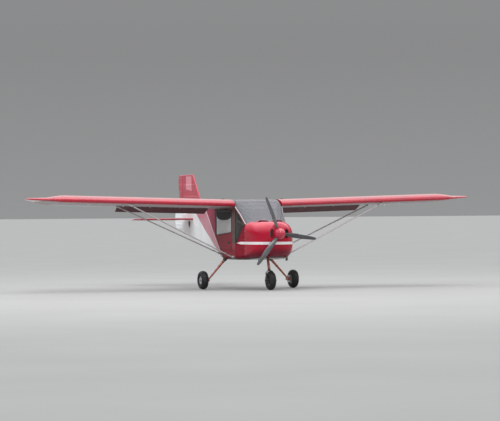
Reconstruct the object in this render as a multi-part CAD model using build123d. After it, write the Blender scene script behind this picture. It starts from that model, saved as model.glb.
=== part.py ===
from build123d import *
import math
import os

# Two-seat high-wing ultralight aircraft on tricycle gear, millimetres.
# +X nose, +Y left wing, +Z up. Origin on the ground under the middle of the overall box.
# Fore-and-aft places are stations: f = distance forward of the wing's leading edge, X = f + DX.

# ---------------------------------------------------------------- driving dimensions
TAIL_END_F = -5200.0          # rudder trailing edge
SPINNER_TIP_F = 1310.0
DX = -(TAIL_END_F + SPINNER_TIP_F) / 2.0

# wing
CHORD = 1300.0
ROOT_Y = 537.0                # wing root face, just outboard of the cabin side
KINK_Y = 4460.0               # leading edge is straight to here
TE_CORNER_Y = 4250.0          # trailing edge is straight to here
TIP_Y = 5030.0
TIP_LE_F = -270.0
WING_LE_Z = 1775.0            # leading edge height at the centre line
INCIDENCE = 4.0               # degrees
DIHEDRAL = 1.61               # degrees
HINGE_U = 1007.0              # aileron and flap hinge, along the chord from the leading edge
HINGE_V = 22.0                # and above the chord line
NOSE_R = 36.0                 # rounded nose of ailerons and flaps
COVE_R = 50.0                 # hollow in the wing around that nose
FLAP_Y = (760.0, 2770.0)
AILERON_Y = (2830.0, 4195.0)
END_GAP = 8.0
FLAP_REST = 22.0              # flap angle as parked, degrees down

# fuselage
SIDE_Y = 535.0                # cabin half-width
WALL = 30.0                   # cabin wall and door thickness
BELLY_Z = 625.0
CORNER_R = 100.0              # lower corner of the cabin section
FIREWALL_F = 400.0
DOOR_TOP_Z = 1690.0
SILL_Z = 830.0
DOOR_FRONT_F = -190.0
DOOR_REAR_F = -1170.0
GAP = 6.0                     # around each door
TAIL_F = -4650.0              # sternpost

# tail
RUDDER_F = -4700.0            # rudder hinge line
FIN_TOP_Z = 2480.0
STAB_Z = 1482.0
STAB_HINGE_F = -4300.0
STAB_TIP_Y = 1275.0
ELEV_REST = 3.0               # elevator droop as parked, degrees down

# gear
TYRE_R = 195.0
TYRE_W = 150.0
RIM_R = 84.0
AXLE_R = 15.0
TRACK_Y = 1030.0              # main wheel centre from the centre line
MAIN_F = -625.0
NOSE_WHEEL_F = 660.0
NOSE_TYRE_W = 135.0
NOSE_AXLE_R = 12.0
TOW_PIN_R = 11.0
TOW_PIN_END = 131.0           # from the centre line

# propeller
PROP_F = 1190.0
PROP_Z = 1180.0
PROP_R = 820.0
SPINNER_R = 115.0
BLADE_ANGLES = (112.0, 232.0, 352.0)   # seen from the front, from +Y towards +Z

os.makedirs("parts", exist_ok=True)
NODES = {}


def P(f, y, z):
    return Vector(f + DX, y, z)


def put(name, shape):
    NODES[name] = shape
    export_step(shape, "parts/" + name + ".step")


def mirrored(shape):
    return mirror(shape, about=Plane.XZ)


def pair(shape):
    """A left piece with its mirror image, as two solids."""
    return Compound(list(shape.solids()) + list(mirrored(shape).solids()))


def one(shape):
    """The largest solid of a cut."""
    s = sorted(shape.solids(), key=lambda q: q.volume)
    return s[-1]


def box(f0, f1, y0, y1, z0, z1):
    return Pos((f0 + f1) / 2 + DX, (y0 + y1) / 2, (z0 + z1) / 2) * Box(
        abs(f1 - f0), abs(y1 - y0), abs(z1 - z0)
    )


def rod(a, b, r, r2=None):
    """Round bar from point a to point b (f, y, z), tapering to r2."""
    a, b = P(*a), P(*b)
    d = b - a
    pl = Plane(origin=a, z_dir=d)
    if r2 is None:
        return extrude(pl * Circle(r), d.length)
    return loft([(pl * Circle(r)).face(), (Plane(origin=b, z_dir=d) * Circle(r2)).face()], ruled=True)


def flat_bar(a, b, chordwise, thick, toward=(1, 0, 0)):
    """Rounded flat bar from a to b (f, y, z), its wide way along toward."""
    a, b = P(*a), P(*b)
    d = b - a
    pl = Plane(origin=a, x_dir=toward, z_dir=d)
    return extrude(pl * SlotOverall(chordwise, thick), d.length)


def side_plate(points, y0, y1):
    """Polygon of (f, z) points, extruded from y0 to y1."""
    pts = [(f + DX, z) for f, z in points]
    wire = Polyline(*pts, close=True)
    face = make_face(wire)
    face = Plane(origin=(0, y0, 0), x_dir=(1, 0, 0), z_dir=(0, -1, 0)) * face
    return extrude(face, -(y1 - y0))


def tub(plane, hw, z0, z1, r0, r1):
    """Section with rounded lower (r0) and upper (r1) corners; z0, z1 along the plane's own Y."""
    c = math.sqrt(0.5)
    k = 1 - c
    lines = [
        Line((-hw + r0, z0), (hw - r0, z0)),
        ThreePointArc((hw - r0, z0), (hw - r0 * k, z0 + r0 * k), (hw, z0 + r0)),
        Line((hw, z0 + r0), (hw, z1 - r1)),
        ThreePointArc((hw, z1 - r1), (hw - r1 * k, z1 - r1 * k), (hw - r1, z1)),
        Line((hw - r1, z1), (-hw + r1, z1)),
        ThreePointArc((-hw + r1, z1), (-hw + r1 * k, z1 - r1 * k), (-hw, z1 - r1)),
        Line((-hw, z1 - r1), (-hw, z0 + r0)),
        ThreePointArc((-hw, z0 + r0), (-hw + r0 * k, z0 + r0 * k), (-hw + r0, z0)),
    ]
    return plane * make_face(lines)


def station(f):
    """Plane across the aircraft at station f; its X runs to the left wing, its Y up."""
    return Plane(origin=(f + DX, 0, 0), x_dir=(0, 1, 0), z_dir=(1, 0, 0))


def skin_loft(table, inset=0.0):
    faces = []
    for f, hw, z0, z1, r0, r1 in table:
        faces.append(
            tub(station(f), hw - inset, z0 + inset, z1 - inset, max(r0 - inset, 8.0), max(r1 - inset, 8.0))
        )
    return loft(faces, ruled=True)


# ---------------------------------------------------------------- nose and cowl
# columns: station f, half-width, bottom z, top z, lower corner radius, upper corner radius
COWL = [
    (FIREWALL_F, 480.0, 640.0, 1415.0, 110.0, 150.0),
    (750.0, 447.0, 668.0, 1428.0, 195.0, 255.0),
    (940.0, 388.0, 740.0, 1424.0, 225.0, 275.0),
    (1080.0, 292.0, 862.0, 1412.0, 225.0, 262.0),
    (1150.0, 214.0, 962.0, 1392.0, 206.0, 206.0),
]
COWL_T = 12.0
COWL_SPLIT_Z = 985.0

cowl_outer = skin_loft(COWL)
inner_table = [(FIREWALL_F - 5,) + COWL[0][1:]] + COWL[1:-1] + [(1138.0,) + COWL[-1][1:]]
cowl_shell = cowl_outer - skin_loft(inner_table, COWL_T)
# air inlets: two crescents beside the spinner, and the hole for the propeller shaft
inlet = (Pos(1150 + DX, 0, PROP_Z) * Rot(0, 90, 0) * Cylinder(192, 140)) - (
    Pos(1150 + DX, 0, PROP_Z) * Rot(0, 90, 0) * Cylinder(124, 160)
)
inlets = inlet & (box(1060, 1240, -220, -84, PROP_Z - 88, PROP_Z + 88) + box(1060, 1240, 84, 220, PROP_Z - 88, PROP_Z + 88))
cowl_shell = cowl_shell - inlets - (Pos(1150 + DX, 0, PROP_Z) * Rot(0, 90, 0) * Cylinder(70, 160))
# two slots across the cowl's top
SLOTS = [(600.0, 640.0, 25.0, 285.0), (600.0, 640.0, -285.0, -25.0)]   # f0, f1, y0, y1
for f0, f1, y0, y1 in SLOTS:
    cowl_shell = cowl_shell - box(f0, f1, y0, y1, 1370, 1460)
upper = cowl_shell & box(300, 1300, -700, 700, COWL_SPLIT_Z + 1.0, 1600)
lower = cowl_shell & box(300, 1300, -700, 700, 500, COWL_SPLIT_Z - 1.0)
# the lower cowl is open around the nose leg and the exhaust
lower = lower - box(380, 640, -75, 75, 600, 720)
EXHAUST = (780.0, 315.0)      # station and side of the exhaust pipe
lower = lower - (Pos(EXHAUST[0] + DX, EXHAUST[1], 690) * Cylinder(38, 160))
put("upper_cowl", one(upper))
put("lower_cowl", one(lower))

exhaust = rod((EXHAUST[0], EXHAUST[1], 850), (EXHAUST[0], EXHAUST[1], 615), 25) - rod(
    (EXHAUST[0], EXHAUST[1], 835), (EXHAUST[0], EXHAUST[1], 600), 21
)
muffler = rod((560, EXHAUST[1], 870), (840, EXHAUST[1], 870), 62)
put("exhaust_pipe", muffler + exhaust)

# engine: one plain block with its gearbox nose, closed inside the cowl
ENGINE = (470.0, 930.0, 275.0, 960.0, 1320.0)   # f0, f1, half-width, z0, z1
eng = box(ENGINE[0], ENGINE[1], -ENGINE[2], ENGINE[2], ENGINE[3], ENGINE[4])
eng = chamfer(eng.edges().filter_by(Axis.X), 60)
eng = eng + rod((ENGINE[1] - 20, 0, PROP_Z), (1090, 0, PROP_Z), 62)
eng = eng - rod((1000, 0, PROP_Z), (1100, 0, PROP_Z), 20.05)
# four mount tubes carry it from the firewall
for y in (-210, 210):
    for z in (1040, 1240):
        eng = eng + rod((FIREWALL_F, y, z), (ENGINE[0] + 10, y, z), 14)
put("engine_block", eng)

# propeller: spinner, hub with its shaft, three blades
sp_back = PROP_F - 28


def spinner_solid(r, length, back):
    k = length / 148.0
    edges = [
        Line((0, 0), (r, 0)),
        ThreePointArc((r, 0), (r * 0.82, 74 * k), (r * 0.34, 132 * k)),
        ThreePointArc((r * 0.34, 132 * k), (r * 0.18, 143.5 * k), (4, length)),
        Line((4, length), (0, length)),
        Line((0, length), (0, 0)),
    ]
    return Pos(back + DX, 0, PROP_Z) * Rot(0, 0, -90) * revolve(make_face(edges), axis=Axis.Y)


spinner = spinner_solid(SPINNER_R, SPINNER_TIP_F - sp_back, sp_back)
hub = rod((PROP_F - 24, 0, PROP_Z), (PROP_F + 30, 0, PROP_Z), 62) + rod(
    (1010, 0, PROP_Z), (PROP_F - 20, 0, PROP_Z), 20
)
# columns: radius, chord, thickness, pitch angle to the disc plane
BLADE = [(55.0, 52.0, 40.0, 60.0), (210.0, 96.0, 26.0, 34.0), (480.0, 100.0, 15.0, 20.0), (760.0, 66.0, 8.0, 13.0), (PROP_R, 34.0, 5.0, 12.0)]


def lens(plane, c, t):
    return plane * make_face(
        [ThreePointArc((-c / 2, 0), (0, t / 2), (c / 2, 0)), ThreePointArc((c / 2, 0), (0, -t / 2), (-c / 2, 0))]
    )


def blade(angle):
    a = math.radians(angle)
    radial = Vector(0, math.cos(a), math.sin(a))
    around = Vector(0, -math.sin(a), math.cos(a))
    faces = []
    for r, c, t, pitch in BLADE:
        p = math.radians(pitch)
        chordwise = around * math.cos(p) + Vector(1, 0, 0) * math.sin(p)
        pl = Plane(origin=P(PROP_F, 0, PROP_Z) + radial * r, x_dir=chordwise, z_dir=radial)
        faces.append(lens(pl, c, t))
    return loft(faces, ruled=True)


blades = [blade(a) - rod((PROP_F - 24, 0, PROP_Z), (PROP_F + 30, 0, PROP_Z), 62) for a in BLADE_ANGLES]
spinner = spinner - spinner_solid(SPINNER_R - 5, SPINNER_TIP_F - sp_back - 9, sp_back + 4)
# a clearance slot in the spinner for each blade root
for a in BLADE_ANGLES:
    ar = math.radians(a)
    radial = Vector(0, math.cos(ar), math.sin(ar))
    around = Vector(0, -math.sin(ar), math.cos(ar))
    pl = Plane(origin=P(PROP_F, 0, PROP_Z) + radial * 60, x_dir=around, z_dir=radial)
    spinner = spinner - extrude(pl * Circle(43), 90)
spinner = spinner - rod((PROP_F - 60, 0, PROP_Z), (PROP_F - 20, 0, PROP_Z), 30)
put("spinner", one(spinner))
prop = hub
for b in blades:
    prop = prop + b
put("propeller", one(prop))

# ---------------------------------------------------------------- cabin shell
# columns as for the cowl; the glass and the sides below it follow these
CABIN = [
    (FIREWALL_F + 45, 474.0, 640.0, 1400.0, 110.0, 150.0),
    (200.0, 505.0, 632.0, 1655.0, 105.0, 190.0),
    (0.0, SIDE_Y - 4, BELLY_Z, 1818.0, CORNER_R, 120.0),
]
GLASS_T = 5.0
FRONT_LOW = [
    (FIREWALL_F, 480.0, 640.0, 1415.0, 110.0, 150.0),
    (0.0, SIDE_Y, BELLY_Z, 1700.0, CORNER_R, 150.0),
]
# firewall
fw = extrude(tub(station(FIREWALL_F - 8), 470.0, 652.0, 1402.0, 100.0, 140.0), 8)
put("firewall", fw)

# forward sides: from the firewall to the front door post, under the line of the quarter window
front_solid = skin_loft(FRONT_LOW)
front_shell = front_solid - skin_loft([(FIREWALL_F + 1,) + FRONT_LOW[0][1:], (-1.0,) + FRONT_LOW[1][1:]], WALL)
QUARTER = [(372.0, 1352.0), (60.0, 985.0), (8.0, 985.0), (8.0, 1668.0), (22.0, 1710.0)]   # f, z of the window's corners
keep = side_plate(
    [(FIREWALL_F - 9, 600), (FIREWALL_F - 9, 1372), (60, 978), (0.5, 978), (0.5, 600)], -700, 700
)
front_low = front_shell & keep
FLOOR_HW = SIDE_Y - CORNER_R - 12
front_low = front_low - box(-50, 500, -FLOOR_HW - 0.5, FLOOR_HW + 0.5, 500, 900)
put("forward_sides", pair(one(front_low & box(-50, 500, 0, 700, 500, 1500))))

# cabin floor and belly: one flat panel from the firewall to the crease
floor = side_plate(
    [(FIREWALL_F - 9, 641.5), (FIREWALL_F - 9, 664), (0, 650), (-700, 650), (-724, BELLY_Z + 1), (0, BELLY_Z)], -FLOOR_HW, FLOOR_HW
)
put("cabin_floor", floor)

# sill below each door, with the lower corner
crease_cut = side_plate([(-705, 600), (-705, BELLY_Z), (-735, 655), (-892, 812), (-895, SILL_Z), (-1500, SILL_Z), (-1500, 600)], -700, 700)
sill_solid = extrude(tub(station(-900), SIDE_Y, BELLY_Z, 1400.0, CORNER_R, 150.0), 899.5)
sill_shell = sill_solid - extrude(
    tub(station(-960), SIDE_Y - WALL, BELLY_Z + WALL, 1400.0, CORNER_R - WALL, 150.0), 1100
)
sill_shell = sill_shell & box(-1000, 0, -700, 700, 500, SILL_Z - GAP)
sill_shell = sill_shell - crease_cut - box(-1000, 50, -FLOOR_HW - 0.5, FLOOR_HW + 0.5, 500, 900)
put("door_sills", pair(one(sill_shell & box(-1000, 50, 0, 700, 500, 1500))))

# front door post panel
post = side_plate(
    [(-0.5, SILL_Z - GAP), (-0.5, 1694), (DOOR_FRONT_F + GAP, 1694), (DOOR_FRONT_F + GAP, SILL_Z - GAP)], SIDE_Y - WALL, SIDE_Y
)
put("door_posts", pair(post))

# panel between the door's rear edge and the crease
rear_panel = side_plate(
    [(DOOR_REAR_F - GAP, 1694), (-1768, 1694), (DOOR_REAR_F - GAP, 1102)], SIDE_Y - WALL, SIDE_Y
)
put("rear_side_panels", pair(rear_panel))

# doors: hinged along their top edge, with the window cut
DOOR = [
    (DOOR_FRONT_F, DOOR_TOP_Z),
    (DOOR_REAR_F, DOOR_TOP_Z),
    (DOOR_REAR_F, 1104.0),
    (-902.0, SILL_Z),
    (DOOR_FRONT_F, SILL_Z),
]
WINDOW = [(-215.0, 1662.0), (-1140.0, 1662.0), (-1140.0, 1142.0), (-215.0, 1206.0)]
DOOR_Y0 = SIDE_Y - WALL
door = side_plate(DOOR, DOOR_Y0, SIDE_Y)
door = fillet(door.edges().filter_by(Axis.Y).sort_by(Axis.Z)[:2], 40)
win = side_plate(WINDOW, DOOR_Y0 - 5, SIDE_Y + 5)
win = fillet(win.edges().filter_by(Axis.Y), 45)
rebate = side_plate([(-205, 1672), (-1150, 1672), (-1150, 1131), (-205, 1196)], SIDE_Y - 14, SIDE_Y - 9)
rebate = fillet(rebate.edges().filter_by(Axis.Y), 55)
door = door - win - rebate
# two hinges along the top edge: barrels on one pin, outer ones fixed, the middle one on the door
HINGE_Y, HINGE_Z, HINGE_R = SIDE_Y + 5.0, DOOR_TOP_Z + 4.0, 5.0
hinge_parts = []
for f in (-330.0, -1000.0):
    leaf = rod((f - 24, HINGE_Y, HINGE_Z), (f + 24, HINGE_Y, HINGE_Z), HINGE_R) + box(
        f - 24, f + 24, SIDE_Y - 0.5, SIDE_Y + 4, 1668, HINGE_Z
    )
    door = door + (leaf - rod((f - 40, HINGE_Y, HINGE_Z), (f + 40, HINGE_Y, HINGE_Z), 2.56))
    fixed = rod((f - 40, HINGE_Y, HINGE_Z), (f + 40, HINGE_Y, HINGE_Z), 2.5)
    for k in (-1, 1):
        fixed = fixed + rod((f + k * 26, HINGE_Y, HINGE_Z), (f + k * 46, HINGE_Y, HINGE_Z), HINGE_R)
        fixed = fixed + box(f + k * 26, f + k * 46, 478, HINGE_Y, HINGE_Z + 2, HINGE_Z + 5)
    hinge_parts.append(fixed)
pane = rebate
put("left_door", door)
put("right_door", mirrored(door))
put("left_door_window", pane)
put("right_door_window", mirrored(pane))

# ---------------------------------------------------------------- glass
arch_out = skin_loft(CABIN)
arch_in = skin_loft([(FIREWALL_F + 60,) + CABIN[0][1:], CABIN[1], (-1.0,) + CABIN[2][1:]], GLASS_T)
arch = arch_out - arch_in
# the windshield is what lies above the slanting line of the front window posts
above = side_plate([(FIREWALL_F + 60, 1318), (FIREWALL_F + 60, 1900), (-10, 1900), (-10, 1738), (22, 1716)], -700, 700)
windshield = (arch & above) - cowl_outer - box(300, 500, -700, 700, 500, 1240)
windshield = one(windshield)
put("windshield", windshield)
below = side_plate(QUARTER, 0, 700)
quarter = one((arch & below) - cowl_outer)
put("quarter_windows", pair(quarter))


# ---------------------------------------------------------------- wing
def wing_section(y, le_f=0.0, chord=CHORD, thick=1.0, lift=0.0):
    """Airfoil face at span y, from three upper arcs and a nearly flat underside."""
    a = math.radians(INCIDENCE)
    rise = math.tan(math.radians(DIHEDRAL)) * abs(y)
    z_le = WING_LE_Z + rise + le_f * math.sin(a) + lift
    origin = Vector(le_f + DX, y, z_le)
    # plane X runs aft along the chord, plane Y up
    pl = Plane(origin=origin, x_dir=(-math.cos(a), 0, -math.sin(a)), z_dir=(0, 1, 0))
    c, t = chord, chord * thick

    def q(u, v):
        return (u * c, v * t)

    edges = [
        ThreePointArc(q(0.022, -0.024), q(0, 0.004), q(0.022, 0.038)),
        ThreePointArc(q(0.022, 0.038), q(0.13, 0.083), q(0.30, 0.098)),
        ThreePointArc(q(0.30, 0.098), q(0.65, 0.067), q(1, 0.003)),
        Line(q(1, 0.003), q(1, -0.003)),
        Line(q(1, -0.003), q(0.13, -0.035)),
        ThreePointArc(q(0.13, -0.035), q(0.06, -0.0325), q(0.022, -0.024)),
    ]
    return pl * make_face(edges)


wing_solid = loft([wing_section(ROOT_Y), wing_section(TE_CORNER_Y)], ruled=True)
# tip: the leading edge runs straight to the kink, the trailing edge sweeps forward to the point
# columns: span y, leading edge f, chord, thickness factor, lift of the section
TIP = [
    (TE_CORNER_Y + 1.0, 0.0, CHORD, 1.0, 0.0),
    (KINK_Y, 0.0, 1046.0, 1.15, 0.0),
    (4800.0, TIP_LE_F * 0.60, 520.0, 1.25, 22.0),
    (TIP_Y, TIP_LE_F, 110.0, 1.1, 30.0),
]
tip_solid = loft([wing_section(y, le, c, t, li) for y, le, c, t, li in TIP], ruled=True)

ia = math.radians(INCIDENCE)
aft = Vector(-math.cos(ia), 0, -math.sin(ia))
upv = Vector(-math.sin(ia), 0, math.cos(ia))


def hinge_point(y):
    rise = math.tan(math.radians(DIHEDRAL)) * abs(y)
    return Vector(DX, y, WING_LE_Z + rise) + aft * HINGE_U + upv * HINGE_V


def surface(y0, y1):
    """Aileron or flap between two spans, in line with the wing, with a round nose about the hinge."""
    h0, h1 = hinge_point(y0), hinge_point(y1)
    pl = Plane(origin=h0, x_dir=aft, z_dir=h1 - h0)
    length = (h1 - h0).length
    nose = extrude(pl * Circle(NOSE_R), length)
    aft_half = extrude(pl * Pos(400, 0) * Rectangle(800, 400), length)
    return (wing_solid & aft_half) + nose


def bay(y0, y1, drop=0.0):
    h0, h1 = hinge_point(y0), hinge_point(y1)
    pl = Plane(origin=h0, x_dir=aft, z_dir=h1 - h0)
    length = (h1 - h0).length
    return extrude(pl * Circle(COVE_R), length) + extrude(pl * Pos(400 - drop, 0) * Rectangle(800, 400), length)


wing = wing_solid - bay(FLAP_Y[0] - END_GAP, FLAP_Y[1] + END_GAP, 14) - bay(AILERON_Y[0] - END_GAP, AILERON_Y[1] + END_GAP)
aileron = surface(*AILERON_Y)
flap = surface(*FLAP_Y)
h0, h1 = hinge_point(FLAP_Y[0]), hinge_point(FLAP_Y[1])
flap_axis = Axis(origin=h0, direction=h1 - h0)
flap = flap.rotate(flap_axis, -FLAP_REST)
# a hinge pin at each end of each surface, carried by the wing's ribs
PIN_R, PIN_IN = 6.0, 45.0


def pin(y, inward, r, more=0.0):
    """From the wing's rib into the surface, inward is +1 or -1 along the span."""
    a, b = hinge_point(y - inward * (END_GAP + 14)), hinge_point(y + inward * (PIN_IN + more))
    return extrude(Plane(origin=a, z_dir=b - a) * Circle(r), (b - a).length)


wing = one(wing)
for name in ("flap", "aileron"):
    y0, y1 = FLAP_Y if name == "flap" else AILERON_Y
    for y, inward in ((y0, 1), (y1, -1)):
        wing = wing + pin(y, inward, PIN_R)
        if name == "flap":
            flap = flap - pin(y, inward, PIN_R + 0.06, 8.0)
        else:
            aileron = aileron - pin(y, inward, PIN_R + 0.06, 8.0)
left = {"wing": one(wing), "aileron": one(aileron), "flap": one(flap)}

# struts: front and rear, from the fuselage's lower corner to the spars
# columns: name, lower f, y, z, upper f, y
STRUTS = [("front_strut", -50.0, 560.0, 672.0, -50.0, 2935.0), ("rear_strut", -725.0, 600.0, 750.0, -820.0, 2930.0)]
for name, f0, y0, z0, f1, y1 in STRUTS:
    rise = math.tan(math.radians(DIHEDRAL)) * y1
    z1 = WING_LE_Z + rise + f1 * math.sin(ia) - (20 if f1 > -400 else 12)
    bar = flat_bar((f0, y0, z0), (f1, y1, z1), 62, 27)
    lug = rod((f0, y0 + 14, z0 + 6), (f0, SIDE_Y - 3, 700.0), 13)
    put(name + "s", pair(one((bar + lug) - wing_solid - sill_solid)))
# tie-down ring under each wing, outboard of the front strut
RING_R, RING_T = 14.0, 8.0
ring_f, ring_y = -140.0, 2960.0
ring_z = WING_LE_Z + math.tan(math.radians(DIHEDRAL)) * ring_y + ring_f * math.sin(ia) - 45.0 - 30.0
ring = rod((ring_f - RING_T / 2, ring_y, ring_z), (ring_f + RING_T / 2, ring_y, ring_z), RING_R + 9) - rod(
    (ring_f - 20, ring_y, ring_z), (ring_f + 20, ring_y, ring_z), RING_R
)
stem = rod((ring_f, ring_y, ring_z + RING_R + 5), (ring_f, ring_y, ring_z + 60), 7)
wing_ring = one((ring + stem) - wing_solid)
for name, s in left.items():
    put("left_" + name, s)
    put("right_" + name, mirrored(s))
put("wing_tips", pair(tip_solid))

# roof window over the wing centre, and the roof panel behind it
ROOF_HW = SIDE_Y - 4
rw = side_plate(
    [(-10.5, 1818), (-110, 1862), (-240, 1888), (-390, 1896), (-560, 1892), (-900, 1860),
     (-900, 1854), (-560, 1886), (-390, 1890), (-240, 1882), (-110, 1856), (-10.5, 1812)], -ROOF_HW, ROOF_HW)
put("roof_window", rw)
rp = side_plate(
    [(-901, 1860), (-1300, 1806), (-1826, 1748), (-1781, 1704), (-1300, 1704), (-901, 1704)], -SIDE_Y, SIDE_Y
)
rp_in = side_plate([(-880, 1840), (-1300, 1786), (-1790, 1730), (-1790, 1600), (-880, 1600)], -SIDE_Y + WALL, SIDE_Y - WALL)
put("roof_panel", one(rp - rp_in))

# ---------------------------------------------------------------- rear fuselage
# three slanting sections: station and z of the lower edge, of the upper edge, half-width, corner radius
REAR = [
    ((-725.0, 645.0), (-1828.0, 1748.0), SIDE_Y, 60.0),
    ((-2750.0, 937.0), (-3150.0, 1668.0), 275.0, 40.0),
    ((TAIL_F, 1208.0), (TAIL_F, 1580.0), 30.0, 20.0),
]


def rear_faces(inset, table):
    faces = []
    for (fb, zb), (ft, zt), hw, r in table:
        d = Vector(ft - fb, 0, zt - zb)
        length = d.length
        up = d.normalized()
        pl = Plane(origin=P(fb, 0, zb), x_dir=(0, 1, 0), z_dir=Vector(0, 1, 0).cross(up))
        faces.append(tub(pl, hw - inset, inset, length - inset, max(r - inset, 5.0), max(r - inset, 5.0)))
    return faces


rear_outer = loft(rear_faces(0.0, REAR), ruled=True)
RT = 14.0
rear_inner_table = [REAR[0], REAR[1], ((TAIL_F + 30, 1205.0), (TAIL_F + 30, 1581.0), 33.0, 20.0)]
rear_inner = loft(rear_faces(RT, rear_inner_table), ruled=True)
rear = rear_outer - rear_inner
# the elevator's torque tube passes through
rear = rear - rod((STAB_HINGE_F, -300, STAB_Z), (STAB_HINGE_F, 300, STAB_Z), 26)
put("rear_fuselage", one(rear))
fuselage_block = rear_outer

# sloping bulkhead behind the seats, parallel to the crease, just ahead of the rear fuselage
bulk = side_plate([(-716, 655), (-1748, 1687), (-1736, 1693), (-704, 661)], -SIDE_Y + WALL + 7, SIDE_Y - WALL - 7)
put("rear_bulkhead", one(bulk - NODES["door_sills"]))

# ---------------------------------------------------------------- tail
fin = side_plate([(-3310, 1640), (-4000, FIN_TOP_Z), (-4665, FIN_TOP_Z), (-4665, 1500), (-3250, 1500)], -20, 20)
fin = fillet(fin.edges().filter_by(lambda e: abs(e.center().Y) > 19 and e.center().X > -4100 + DX and e.center().Z > 1520), 17)
fin = one(fin - fuselage_block - box(TAIL_F - 20, TAIL_F, -60, 60, 1100, 1580))
LUG_T, LUG_SLOT, LUG_PIN = 8.0, 11.0, 5.0
RUDDER_LUGS = (1700.0, 2380.0)
for z in RUDDER_LUGS:
    lug = box(RUDDER_F, -4655, -11, 11, z - LUG_T / 2, z + LUG_T / 2) + extrude(
        Plane(origin=P(RUDDER_F, 0, z - LUG_T / 2)) * Circle(13), LUG_T
    )
    fin = fin + lug - extrude(Plane(origin=P(RUDDER_F, 0, z - 20)) * Circle(LUG_PIN + 0.06), 40)
put("fin", one(fin))

RUDDER = [
    (RUDDER_F, 1250.0), (RUDDER_F, FIN_TOP_Z - 4), (-4886, FIN_TOP_Z - 12), (-4932, FIN_TOP_Z - 48), (-4957, 2340),
    (-4940, 2190), (-4880, 2010), (-4955, 1880), (-5105, 1715), (-5180, 1600), (TAIL_END_F, 1480), (-5172, 1330), (-5085, 1250),
]
rud = side_plate(RUDDER, -16, 16)
rud = rud + extrude(Plane(origin=P(RUDDER_F, 0, 1250)) * Circle(22), FIN_TOP_Z - 4 - 1250)
for z in RUDDER_LUGS:
    slot = box(RUDDER_F - 22, RUDDER_F + 30, -30, 30, z - LUG_SLOT, z + LUG_SLOT)
    rud = (rud - slot) + extrude(Plane(origin=P(RUDDER_F, 0, z - 16)) * Circle(LUG_PIN), 32)
put("rudder", one(rud))

# stabilizer halves and elevator
STAB = [(-3350.0, 0.0), (-3810.0, 1150.0), (-3930.0, STAB_TIP_Y), (-4272.0, STAB_TIP_Y), (-4272.0, 0.0)]   # f, y


def flat_surface(points, z, t):
    wire = Polyline(*[(f + DX, y) for f, y in points], close=True)
    return extrude(Plane(origin=(0, 0, z - t / 2)) * make_face(wire), t)


stab = flat_surface(STAB, STAB_Z, 42)
stab = fillet(stab.edges().filter_by(lambda e: e.center().X > -4200 + DX and abs(e.center().Z - STAB_Z) > 20), 17)
stab = one(stab - fuselage_block)
ELEV_LUGS = (320.0, 900.0)
for y in ELEV_LUGS:
    lug = box(STAB_HINGE_F, -4262, y - LUG_T / 2, y + LUG_T / 2, STAB_Z - 11, STAB_Z + 11) + rod(
        (STAB_HINGE_F, y - LUG_T / 2, STAB_Z), (STAB_HINGE_F, y + LUG_T / 2, STAB_Z), 12
    )
    stab = stab + lug - rod((STAB_HINGE_F, y - 20, STAB_Z), (STAB_HINGE_F, y + 20, STAB_Z), LUG_PIN + 0.06)
put("stabilizer", pair(stab))

ELEV = [(STAB_HINGE_F, 128.0), (STAB_HINGE_F, STAB_TIP_Y), (-4570.0, STAB_TIP_Y), (-4676.0, 1180.0), (-4684.0, 200.0), (-4600.0, 128.0)]
half = flat_surface(ELEV, STAB_Z, 30)
elev = half + mirrored(half) + rod((STAB_HINGE_F, -STAB_TIP_Y, STAB_Z), (STAB_HINGE_F, STAB_TIP_Y, STAB_Z), 20)
for y in ELEV_LUGS:
    for k in (-1, 1):
        slot = box(STAB_HINGE_F - 20, STAB_HINGE_F + 30, k * y - LUG_SLOT, k * y + LUG_SLOT, STAB_Z - 30, STAB_Z + 30)
        elev = (elev - slot) + rod((STAB_HINGE_F, k * y - 16, STAB_Z), (STAB_HINGE_F, k * y + 16, STAB_Z), LUG_PIN)
elev = elev.rotate(Axis(origin=P(STAB_HINGE_F, 0, STAB_Z), direction=(0, 1, 0)), -ELEV_REST)
put("elevator", one(elev))

# tail tie-down ring under the sternpost
tail_ring = rod((-4560 - RING_T / 2, 0, 1160), (-4560 + RING_T / 2, 0, 1160), RING_R + 9) - rod(
    (-4600, 0, 1160), (-4500, 0, 1160), RING_R
)
tail_ring = one((tail_ring + rod((-4560, 0, 1178), (-4560, 0, 1240), 7)) - fuselage_block)
put("tie_down_rings", Compound(list(pair(wing_ring).solids()) + [tail_ring]))

# ---------------------------------------------------------------- cabin tube frame
TUBE_R = 12.0
FY = 486.0
# columns: name, f, z (each on both sides at y = FY)
JOINTS = {
    "post_foot": (-25.0, 702.0), "post_mid": (-25.0, 1460.0), "post_head": (-25.0, 1722.0),
    "spar_rear": (-720.0, 1706.0), "back_head": (-1700.0, 1672.0), "back_foot": (-728.0, 702.0),
    "nose_top": (378.0, 1300.0), "nose_foot": (376.0, 722.0),
}
NOSE_Y = 420.0
# pairs joined along each side, and those joined across
RAILS = [
    ("post_foot", "post_head"), ("post_head", "spar_rear"), ("spar_rear", "back_head"), ("back_head", "back_foot"),
    ("back_foot", "post_foot"), ("post_foot", "nose_foot"), ("post_mid", "nose_top"), ("nose_top", "nose_foot"),
]
ACROSS = ["post_head", "spar_rear", "back_head", "nose_top"]


def joint(name, side):
    f, z = JOINTS[name]
    return (f, side * (NOSE_Y if name.startswith("nose") else FY), z)


side_frame = None
for a, b in RAILS:
    t = rod(joint(a, 1), joint(b, 1), TUBE_R)
    side_frame = t if side_frame is None else side_frame + t
cross = [rod(joint(a, 1), joint(a, -1), TUBE_R) - side_frame - mirrored(side_frame) for a in ACROSS]
cross = [one(t - NODES["rear_bulkhead"] - NODES["firewall"]) for t in cross]

# ---------------------------------------------------------------- cabin fittings
SEAT_Y = 245.0
SEAT_HW = 205.0
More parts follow.
